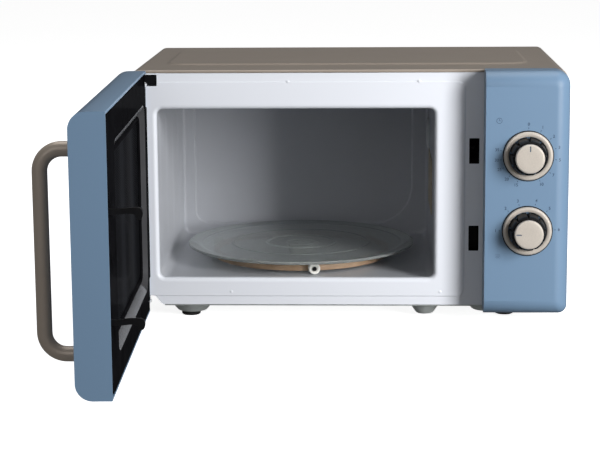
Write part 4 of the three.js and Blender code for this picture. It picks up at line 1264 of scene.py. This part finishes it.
DIAL_NUMBERS = {
    "timer": {
        0: 0, 26: 1, 52: 2, 75: 3, 98: 5, 128: 7, 155: 10, 202: 15, 222: 20, 244: 25, 262: 30, 281: 35,
    },
    "power": {270: 1, 316: 2, 342: 3, 16: 4, 44: 5, 88: 6},
}


def face_depth(x):
    """How far back the face curves at a place near its right edge."""
    past = max(0.0, x - (FACE["x1"] - FACE_ROUND))
    return FACE["front"] + FACE_ROUND - math.sqrt(max(FACE_ROUND**2 - past**2, 0))


def laid_on_face(solid, proud=0.1):
    """Flat print bent on to the face, standing a tenth of a millimetre proud."""
    longer = [e for e in solid.edges if e.calc_length() > 0.8]
    bmesh.ops.subdivide_edges(solid, edges=longer, cuts=2)
    bmesh.ops.triangulate(solid, faces=solid.faces)
    for v in solid.verts:
        v.co.y = face_depth(v.co.x) + (0.05 if v.co.y > 0 else -proud)
    bmesh.ops.recalc_face_normals(solid, faces=solid.faces)
    return solid


def digit_solid(text, x, z, height):
    """A number as a thin solid, its middle at x, z."""
    curve = bpy.data.curves.new("number", "FONT")
    curve.body = str(text)
    curve.size = height * 1.35
    curve.align_x = "CENTER"
    curve.align_y = "CENTER"
    curve.extrude = 1
    curve.offset = 0.06
    curve.resolution_u = 3
    holder = bpy.data.objects.new("number", curve)
    bpy.context.scene.collection.objects.link(holder)
    bpy.context.view_layer.update()
    mesh = bpy.data.meshes.new_from_object(holder)
    solid = bmesh.new()
    solid.from_mesh(mesh)
    bpy.data.objects.remove(holder)
    bpy.data.curves.remove(curve)
    bpy.data.meshes.remove(mesh)
    bmesh.ops.remove_doubles(solid, verts=solid.verts, dist=SAME_POINT)
    return moved(solid, Matrix.Translation((x, 0, z)) @ Matrix.Rotation(TURN / 4, 4, "X"))


def around(knob, degrees, radius):
    a = math.radians(degrees)
    return knob.x + radius * math.sin(a), knob.z + radius * math.cos(a)


def build_dial_print(name, knob):
    """Numbers and ticks round a dial, and a plain mark for what the dial sets."""
    marks = []
    for degrees, number in DIAL_NUMBERS[name].items():
        x, z = around(knob, degrees, 31.5)
        marks.append(digit_solid(number, x, z, 3.2))
        x, z = around(knob, degrees, 27.6)
        tick = block(-0.3, -1, -0.8, 0.3, 1, 0.8)
        place = Matrix.Translation((x, 0, z)) @ Matrix.Rotation(math.radians(degrees), 4, "Y")
        marks.append(moved(tick, place))
    icon_x = knob.x - 29
    if name == "timer":
        icon_z = knob.z + 35
        marks.append(turned([(2.5, -1), (2.9, -1), (2.9, 1), (2.5, 1)], "Y", (icon_x, 0, icon_z), 32))
        marks.append(block(icon_x - 0.2, -1, icon_z, icon_x + 0.2, 1, icon_z + 1.8))
        marks.append(block(icon_x + 0.25, -1, icon_z - 0.2, icon_x + 1.5, 1, icon_z + 0.2))
    else:
        icon_z = knob.z - 26
        for i in range(3):
            wave = []
            for k in range(9):
                level = icon_z - 1.6 + 1.5 * i
                wave.append((icon_x - 2.4 + 0.6 * k, level + 0.4 * math.sin(k * TURN / 4)))
            upper = [(u, v + 0.35) for u, v in wave[::-1]]
            marks.append(slab(wave + upper, -1, 1))
    solid = laid_on_face(together(*marks))
    piece(name + "_dial_print", solid, "cabinet", ("ink", "black_matte"), (), 0)


def build_panel():
    """Blue control panel: rounded face, hollow back, dial bores and the grooves round the dial seats."""
    left = PANEL.x0
    back = PANEL.y1
    outer = common(pillow(0, back), block(left, -60, 0, 400, 10, 300))
    pocket = common(pillow(WALL, back + 2), block(left + WALL, -60, 0, 400, 10, 300))
    tools = []
    for node in ("timer_knob_cap", "power_knob_cap"):
        knob = Span(node)
        tools.append(rod(5, -60, -20, "Y", (knob.x, 0, knob.z), 40))
        high, low = FACE["front"] - 2, FACE["front"] + 1
        ring = [(24.2, high), (25.1, high), (25.1, low), (24.2, low)]
        tools.append(turned(ring, "Y", (knob.x, 0, knob.z), 64))
    panel = cut(cut(outer, pocket), *tools)
    piece("panel_face", panel, "cabinet", "door_blue", ["control_panel"], 0.4, 2, 40)


def build_dial(name, body, sizes):
    """One dial: its seat ring, lobed grip, satin cap with a groove, and a thin black ring in the gap round
    the seat ring as painted shadow.
    """
    bezel, grip, cap = (Span(name + part) for part in ("_bezel", "_knob_grip", "_knob_cap"))
    centre = (cap.x, 0, cap.z)
    radius = (bezel.x1 - bezel.x0) / 2
    inner = (grip.x1 - grip.x0) / 2 + 0.6
    back, front = bezel.y1, bezel.y0
    profile = [
        (inner, back), (radius, back), (radius, front + 1.5), (radius - 0.35, front + 0.75),
        (radius - 1.1, front + 0.2), (radius - 2, front), (inner + 1.4, front + 0.25),
        (inner + 0.3, front + 0.8), (inner, front + 1.4),
    ]
    ring = turned(profile, "Y", centre, 72)
    piece(name + "_seat_ring", ring, "cabinet", "champagne", [name + "_bezel"], 0.1)
    # The thin black ring in the gap round the seat ring is painted shadow, in the black rubber finish.
    gap = [(radius, back), (radius + 1, back), (radius + 1, back - 0.6), (radius, back - 1)]
    seat = turned(gap, "Y", centre, 72)
    piece(name + "_seat_gasket", seat, "cabinet", "rubber", (), 0)
    build_grip(name, body, grip, centre, sizes.lobes)
    build_cap(name, body, cap)


def build_grip(name, body, grip, centre, lobes):
    """Black grip: a drum with finger hollows that deepen away from the panel, on its shaft."""
    outer = (grip.x1 - grip.x0) / 2
    back, front = FACE["front"] - 0.8, grip.y0
    sides = lobes * 16
    rows = (
        (back, 1.0, 1.0), (back - 2, 1.0, 1.0), (back - 4, 0.985, 1.0), (front + 4, 0.93, 0.9),
        (front + 1.2, 0.9, 0.6), (front + 0.4, 0.87, 0.35), (front, 0.82, 0.1),
    )
    rings = []
    for y, scale, depth in rows:
        ring = []
        for i in range(sides):
            a = i * TURN / sides
            dip = max(0.0, math.cos(a * lobes)) ** 9
            r = outer * scale - 2.8 * dip * depth
            ring.append((centre[0] + r * math.sin(a), y, centre[2] + r * math.cos(a)))
        rings.append(ring)
    shaft = rod(3, back - 1, grip.y1, "Y", centre, 24)
    solid = joined(skin(rings), shaft)
    piece(name + "_lobed_grip", solid, body, "black_matte", [name + "_knob_grip"], 0)


def build_cap(name, body, cap):
    """Satin cap of a knob, with its index groove and the dark line in it."""
    radius = (cap.x1 - cap.x0) / 2
    back, front = cap.y1, cap.y0
    profile = [
        (0, back), (radius - 0.4, back), (radius, back - 0.4), (radius, front + 1.3),
        (radius - 0.3, front + 0.6), (radius - 0.9, front + 0.15), (radius - 1.7, front),
        (radius * 0.5, front + 0.12), (0, front + 0.18),
    ]
    solid = turned(profile, "Y", (0, 0, 0), 72)
    line = rounded(-0.55, radius * 0.5, 0.55, radius - 1.6, 0.5, 4)
    groove = slab(line, front - 1, front + 0.75)
    pointer = {"timer": 0, "power": -TURN / 4}[name]
    place = Matrix.Translation((cap.x, 0, cap.z)) @ Matrix.Rotation(pointer, 4, "Y")
    solid = moved(cut(solid, groove), place)
    fill = moved(slab(line, front + 0.3, front + 0.75), place.copy())
    piece(name + "_index_line", fill, body, ("ink", "black_matte"), (), 0)
    piece(name + "_satin_cap", solid, body, "champagne", [name + "_knob_cap"], 0.12)


# ---------------------------------------------------------------- turntable


def build_turntable():
    """Pressed glass plate with raised rings and an upturned rim."""
    table = Span("turntable_plate")
    radius = (table.x1 - table.x0) / 2
    z = table.z0
    under = [
        (0, z), (15, z), (17, z + 0.5), (radius - 16, z), (radius - 12, z + 0.3), (radius - 1.6, z + 1.6),
        (radius, z + 2.6),
    ]
    rim = [(radius, z + 4.0), (radius - 0.8, z + 4.8), (radius - 2.2, z + 4.7), (radius - 6, z + 4.2)]
    top = [(radius - 13, z + 3.5), (radius - 15, z + 3.1)]
    for r in (radius * 0.6, radius * 0.3):
        top += [(r + 2.2, z + 3.1), (r + 0.8, z + 3.6), (r - 0.8, z + 3.6), (r - 2.2, z + 3.1)]
    profile = [*under, *rim, *top, (0, z + 3.1)]
    plate = turned(profile, "Z", (table.x, table.y, 0), 128)
    piece("glass_turntable", plate, "turntable", "turntable_glass", ["turntable_plate"], 0)


def build_drive():
    """Three-armed coupler under the plate, the roller ring and its three wheels."""
    table, coupler = Span("turntable_plate"), Span("drive_coupler")
    centre = (table.x, table.y, 0)
    outline = []
    for i in range(120):
        a = i * TURN / 120
        r = 14 + 5 * max(0.0, math.cos(3 * a)) ** 2
        outline.append((table.x + r * math.cos(a), table.y + r * math.sin(a)))
    low, high = LINER.z0 + 2.5, coupler.z1
    head = column(outline, low, high)
    parts = [rod(7, LINER.z0 + 0.4, low + 0.5, "Z", centre, 32), rod(3.5, coupler.z0, low, "Z", centre, 24)]
    hollow = []
    for a in (0, TURN / 3, 2 * TURN / 3):
        spot = (table.x + 11 * math.cos(a), table.y + 11 * math.sin(a), 0)
        hollow.append(rod(2.4, high - 3, high + 1, "Z", spot, 16))
    piece("coupler_star", cut(joined(head, *parts), *hollow), "turntable", "white_plastic",
          ["drive_coupler"], 0.4)
    axle_z = (Span("roller_wheel_1").z0 + Span("roller_wheel_1").z1) / 2
    outer = 95
    band = [
        (outer - 4, axle_z - 3.6), (outer - 3.4, axle_z - 3.9), (outer - 0.5, axle_z - 3.6),
        (outer, axle_z - 3), (outer, axle_z + 1.8), (outer - 0.6, axle_z + 2.4),
        (outer - 3.4, axle_z + 2.4), (outer - 4, axle_z + 1.8),
    ]
    solids, caps = [turned(band, "Z", centre, 96)], []
    for wheel in (1, 2, 3):
        hub = Span(f"roller_wheel_{wheel}")
        offset = Vector((hub.x - table.x, hub.y - table.y, 0))
        away, reach = offset.normalized(), offset.length
        middle = Vector((table.x, table.y, axle_z))
        solids.append(tube([middle + away * (outer - 2), middle + away * (reach + 4.6)], 1.4, 16))
        caps.append(tube([middle + away * (reach + 3.9), middle + away * (reach + 4.8)], 2.3, 20))
    piece("wheel_retainers", together(*caps), "roller_ring", "black_matte", (), 0.1)
    piece("roller_band", joined(*solids), "roller_ring", "tan_plastic", ["roller_ring"], 0.2)
    for wheel in (1, 2, 3):
        build_wheel(wheel, table, axle_z)


def build_wheel(number, table, axle_z):
    """One white roller wheel, its tread and hub turned about its axle."""
    node = f"roller_wheel_{number}"
    hub = Span(node)
    away = math.atan2(hub.y - table.y, hub.x - table.x)
    r, half = (hub.z1 - hub.z0) / 2, 3.6
    profile = [
        (1.75, -half + 0.9), (3.0, -half + 0.9), (3.6, -half), (r - 0.9, -half), (r - 0.2, -half + 0.5),
        (r, -half + 1.1), (r, half - 1.1), (r - 0.2, half - 0.5), (r - 0.9, half), (3.6, half),
        (3.0, half - 0.9), (1.75, half - 0.9),
    ]
    wheel = turned(profile, "X", (0, 0, 0), 40)
    place = Matrix.Translation((hub.x, hub.y, axle_z)) @ Matrix.Rotation(away, 4, "Z")
    piece(f"{node}_tread", moved(wheel, place), node, "white_plastic", [node], 0.12)


# ---------------------------------------------------------------- works behind the panel


INNER_FINISHES = {
    "black_gloss": ["latch_bracket"],
    "black_matte": ["fan_shroud", "primary_switch", "secondary_switch", "monitor_switch",
                    "high_voltage_diode", "thermal_cutout", "primary_plunger", "secondary_plunger",
                    "monitor_plunger", "interlock_lever"],
    "white_plastic": ["timer_unit", "power_selector", "cavity_lamp"],
    "bright_metal": ["timer_bell", "turntable_motor", "capacitor_clamp"],
    "galvanised": ["waveguide"],
}


def build_works():
    """Switches, timer, lamp, motor and the other moulded or pressed parts that keep the frame's shape."""
    for finish, nodes in INNER_FINISHES.items():
        kept(nodes, finish)
    kept(["mica_cover"], "mica", 0.1)
    kept(["mains_fuse"], "bright_metal", 0.15)


def build_fan():
    """Five-bladed fan and its shaded-pole motor."""
    blade = Span("fan_blade")
    outer = (blade.x1 - blade.x0) / 2
    hub = turned(
        [(2.0, blade.y0), (8, blade.y0), (9, blade.y0 + 0.8), (9, blade.y1), (2.0, blade.y1)],
        "Y", (blade.x, 0, blade.z), 40,
    )
    vanes = []
    for i in range(5):
        rings = []
        for share in (0, 0.25, 0.5, 0.75, 1):
            radius = 8 + (outer - 8.6) * share
            tilt = math.radians(34 - 12 * share)
            half = min(9 + 5 * share, (blade.y1 - blade.y0 - 1.4) / 2 / math.sin(tilt))
            ring = []
            for u, v in ((-half, -0.5), (0, -0.9), (half, -0.5), (half, 0.5), (0, 0.3), (-half, 0.5)):
                across = u * math.cos(tilt) - v * math.sin(tilt)
                along = u * math.sin(tilt) + v * math.cos(tilt)
                a = i * TURN / 5 + across / radius
                ring.append((blade.x + radius * math.sin(a), blade.y + along, blade.z + radius * math.cos(a)))
            rings.append(ring)
        vanes.append(skin(rings))
    piece("fan_impeller", together(hub, *vanes), "fan", "tan_plastic", ["fan_blade"], 0.15)
    kept(["fan_motor"], "galvanised", 0.3)


def build_power_works():
    """Magnetron, transformer, capacitor and the filter board."""
    core = Span("transformer_core")
    kept(["transformer_core"], "dark_steel", 0.3)
    kept(["magnetron", "capacitor"], "galvanised", 0.25)
    kept(["filter_board"], "board", 0.15)
    kept(["transformer_coil"], "winding", 0.8)
    bolts = []
    for x in (core.x0 + 7, core.x1 - 7):
        for y in (core.y0 + 7, core.y1 - 7):
            bolts.append(screw_head(x, y, core.z1 - 0.1, "Z", 3.4))
    piece("transformer_bolts", together(*bolts), "cabinet", "bright_metal", (), 0.08)


# ---------------------------------------------------------------- stage


CAMERA_PLACE = (0.04714, -1.79572, 0.43786)
CAMERA_YAW = math.radians(2.361)
CAMERA_DIP = math.radians(10.425)
CAMERA_ROLL = -0.0072
CAMERA_LENS = 109.96
FLOOR_REACH = 60
KEY_PLACE = (1.0, -0.95, 0.45)
KEY_TARGET = (0.05, 0, 0.12)
LIGHTS = (
    ("key", KEY_PLACE, KEY_TARGET, 0.42, 0.8, 15, False),
    ("key sheen", KEY_PLACE, KEY_TARGET, 0.42, 0.8, 14, True),
    ("rear fill", (0.5, 2.4, 0.6), (0, 0.26, 0.13), 1.4, 1.0, 14, False),
    ("overhead", (0, 0.3, 2.0), (0, 0, 0), 2.0, 1.6, 17, True),
    ("front fill", (-0.7, -2.4, 1.0), (0, 0, 0.12), 1.6, 1.2, 5, True),
)


def build_camera():
    """Camera looking down a little on the open oven."""
    forward = Vector((
        -math.sin(CAMERA_YAW) * math.cos(CAMERA_DIP),
        math.cos(CAMERA_YAW) * math.cos(CAMERA_DIP),
        -math.sin(CAMERA_DIP),
    ))
    level = Vector((math.cos(CAMERA_YAW), math.sin(CAMERA_YAW), 0))
    upright = level.cross(forward)
    right = level * math.cos(CAMERA_ROLL) + upright * math.sin(CAMERA_ROLL)
    above = upright * math.cos(CAMERA_ROLL) - level * math.sin(CAMERA_ROLL)
    camera = bpy.data.cameras.new("camera")
    camera.lens = CAMERA_LENS
    camera.sensor_width = 36
    camera.clip_start = 0.1
    camera.clip_end = 200
    holder = bpy.data.objects.new("camera", camera)
    turn = Matrix((right, above, -forward)).transposed().to_4x4()
    holder.matrix_world = Matrix.Translation(CAMERA_PLACE) @ turn
    bpy.context.scene.collection.objects.link(holder)
    bpy.context.scene.camera = holder


def softbox(name, place, target, width, height, power, shines):
    """A rectangular light; one that does not shine lights surfaces without showing in their gloss."""
    light = bpy.data.lights.new(name, "AREA")
    light.shape = "RECTANGLE"
    light.size = width
    light.size_y = height
    light.energy = power
    holder = bpy.data.objects.new(name, light)
    aim = Vector(target) - Vector(place)
    holder.rotation_euler = aim.to_track_quat("-Z", "Y").to_euler()
    holder.location = place
    holder.visible_glossy = shines
    bpy.context.scene.collection.objects.link(holder)


def build_stage():
    """Pale floor, grey surroundings and soft boxes."""
    build_camera()
    paint = Paint("pale floor", roughness=0.9, specular_ior_level=0.1, emission_strength=0.85)
    paint.shader.inputs["Emission Color"].default_value = (1, 1, 1, 1)
    paint.mottle(tone(250, 250, 250), tone(253, 253, 253), 3)
    floor = block(-FLOOR_REACH, -FLOOR_REACH, -0.02, FLOOR_REACH, FLOOR_REACH, 0)
    mesh = bpy.data.meshes.new("floor")
    floor.to_mesh(mesh)
    floor.free()
    mesh.materials.append(paint.material)
    holder = bpy.data.objects.new("floor", mesh)
    bpy.context.scene.collection.objects.link(holder)
    holder.visible_diffuse = False
    holder.visible_glossy = False
    world = bpy.data.worlds.new("surroundings")
    world.use_nodes = True
    back = world.node_tree.nodes["Background"]
    back.inputs["Color"].default_value = (1, 1, 1, 1)
    back.inputs["Strength"].default_value = 0.12
    bpy.context.scene.world = world
    for light in LIGHTS:
        softbox(*light)
    bpy.context.scene.view_settings.view_transform = "Standard"


# ---------------------------------------------------------------- add-on


class OvenOperator:
    """Shared parts of the oven's operators."""

    bl_options = {"REGISTER", "UNDO"}
    builders = ()

    def execute(self, context):
        if not FINISHES:
            mix_finishes(context.scene.oven_colours)
        for build in self.builders:
            build(context)
        return {"FINISHED"}


class OVEN_OT_cabinet(OvenOperator, bpy.types.Operator):
    """Build the wrap, the rear panel, the cord inlet, the base and the feet."""

    bl_idname = "oven.cabinet"
    bl_label = "Cabinet"
    builders = (
        lambda context: build_wrap(),
        lambda context: build_rear_panel(),
        lambda context: build_gland(),
        lambda context: build_base(),
    )


class OVEN_OT_cavity(OvenOperator, bpy.types.Operator):
    """Build the front plate and the cavity behind its opening."""

    bl_idname = "oven.cavity"
    bl_label = "Front Plate and Cavity"
    builders = (
        lambda context: build_plate(context.scene.oven_sizes),
        lambda context: build_cavity(context.scene.oven_sizes),
    )


class OVEN_OT_door(OvenOperator, bpy.types.Operator):
    """Build the door with its window, inner cover and handle."""

    bl_idname = "oven.door"
    bl_label = "Door"
    builders = (
        lambda context: build_door_shell(),
        lambda context: build_door_lining(),
        lambda context: build_handle(),
    )


class OVEN_OT_latch(OvenOperator, bpy.types.Operator):
    """Build the latch hooks, their spring and the two hinges."""

    bl_idname = "oven.latch"
    bl_label = "Latch and Hinges"
    builders = (
        lambda context: build_latch(context.scene.oven_sizes),
        lambda context: build_hinge(
            "upper_hinge_arm", "upper_hinge", ARM_LEVEL, tab_low=243, pin_low=236.5, pin_high=ARM_LEVEL + 4.4,
        ),
        lambda context: build_hinge(
            "lower_hinge_arm", "lower_hinge", 19.2, tab_low=26.6, pin_low=20.2, pin_high=32.2,
            strap=(17.6, 34),
        ),
    )


class OVEN_OT_controls(OvenOperator, bpy.types.Operator):
    """Build the control panel, its print and its two dials."""

    bl_idname = "oven.controls"
    bl_label = "Control Panel and Dials"
    builders = (
        lambda context: build_panel(),
        lambda context: build_dial("timer", "timer_knob", context.scene.oven_sizes),
        lambda context: build_dial("power", "power_knob", context.scene.oven_sizes),
        lambda context: build_dial_print("timer", Span("timer_knob_cap")),
        lambda context: build_dial_print("power", Span("power_knob_cap")),
    )


class OVEN_OT_turntable(OvenOperator, bpy.types.Operator):
    """Build the glass plate, its coupler, the roller ring and the wheels."""

    bl_idname = "oven.turntable"
    bl_label = "Turntable"
    builders = (lambda context: build_turntable(), lambda context: build_drive())


class OVEN_OT_works(OvenOperator, bpy.types.Operator):
    """Build the fan, the power parts and the switches behind the panel."""

    bl_idname = "oven.works"
    bl_label = "Inner Works"
    builders = (
        lambda context: build_works(),
        lambda context: build_fan(),
        lambda context: build_power_works(),
    )


class OVEN_OT_stage(bpy.types.Operator):
    """Build the floor, the lights and the camera."""

    bl_idname = "oven.stage"
    bl_label = "Stage"
    bl_options = {"REGISTER", "UNDO"}

    def execute(self, context):
        build_stage()
        return {"FINISHED"}


STEPS = (
    OVEN_OT_cabinet, OVEN_OT_cavity, OVEN_OT_door, OVEN_OT_latch, OVEN_OT_controls, OVEN_OT_turntable,
    OVEN_OT_works, OVEN_OT_stage,
)


class OVEN_PT_panel(bpy.types.Panel):
    """Sidebar panel with the oven's colours, sizes and steps."""

    bl_idname = "OVEN_PT_panel"
    bl_label = "Microwave Oven"
    bl_space_type = "VIEW_3D"
    bl_region_type = "UI"
    bl_category = "Oven"

    def draw(self, context):
        layout = self.layout
        for settings in (context.scene.oven_colours, context.scene.oven_sizes):
            for name in settings.bl_rna.properties.keys():
                if name not in ("rna_type", "name"):
                    layout.prop(settings, name)
        for step in STEPS:
            layout.operator(step.bl_idname, text=step.bl_label)


CLASSES = (OvenColours, OvenSizes, *STEPS, OVEN_PT_panel)


def register():
    for cls in CLASSES:
        bpy.utils.register_class(cls)
    bpy.types.Scene.oven_colours = bpy.props.PointerProperty(type=OvenColours)
    bpy.types.Scene.oven_sizes = bpy.props.PointerProperty(type=OvenSizes)


def unregister():
    del bpy.types.Scene.oven_sizes
    del bpy.types.Scene.oven_colours
    for cls in reversed(CLASSES):
        bpy.utils.unregister_class(cls)


def main():
    register()
    bpy.ops.oven.cabinet()
    bpy.ops.oven.cavity()
    bpy.ops.oven.door()
    bpy.ops.oven.latch()
    bpy.ops.oven.controls()
    bpy.ops.oven.turntable()
    bpy.ops.oven.works()
    bpy.ops.oven.stage()


if __name__ == "__main__":
    main()
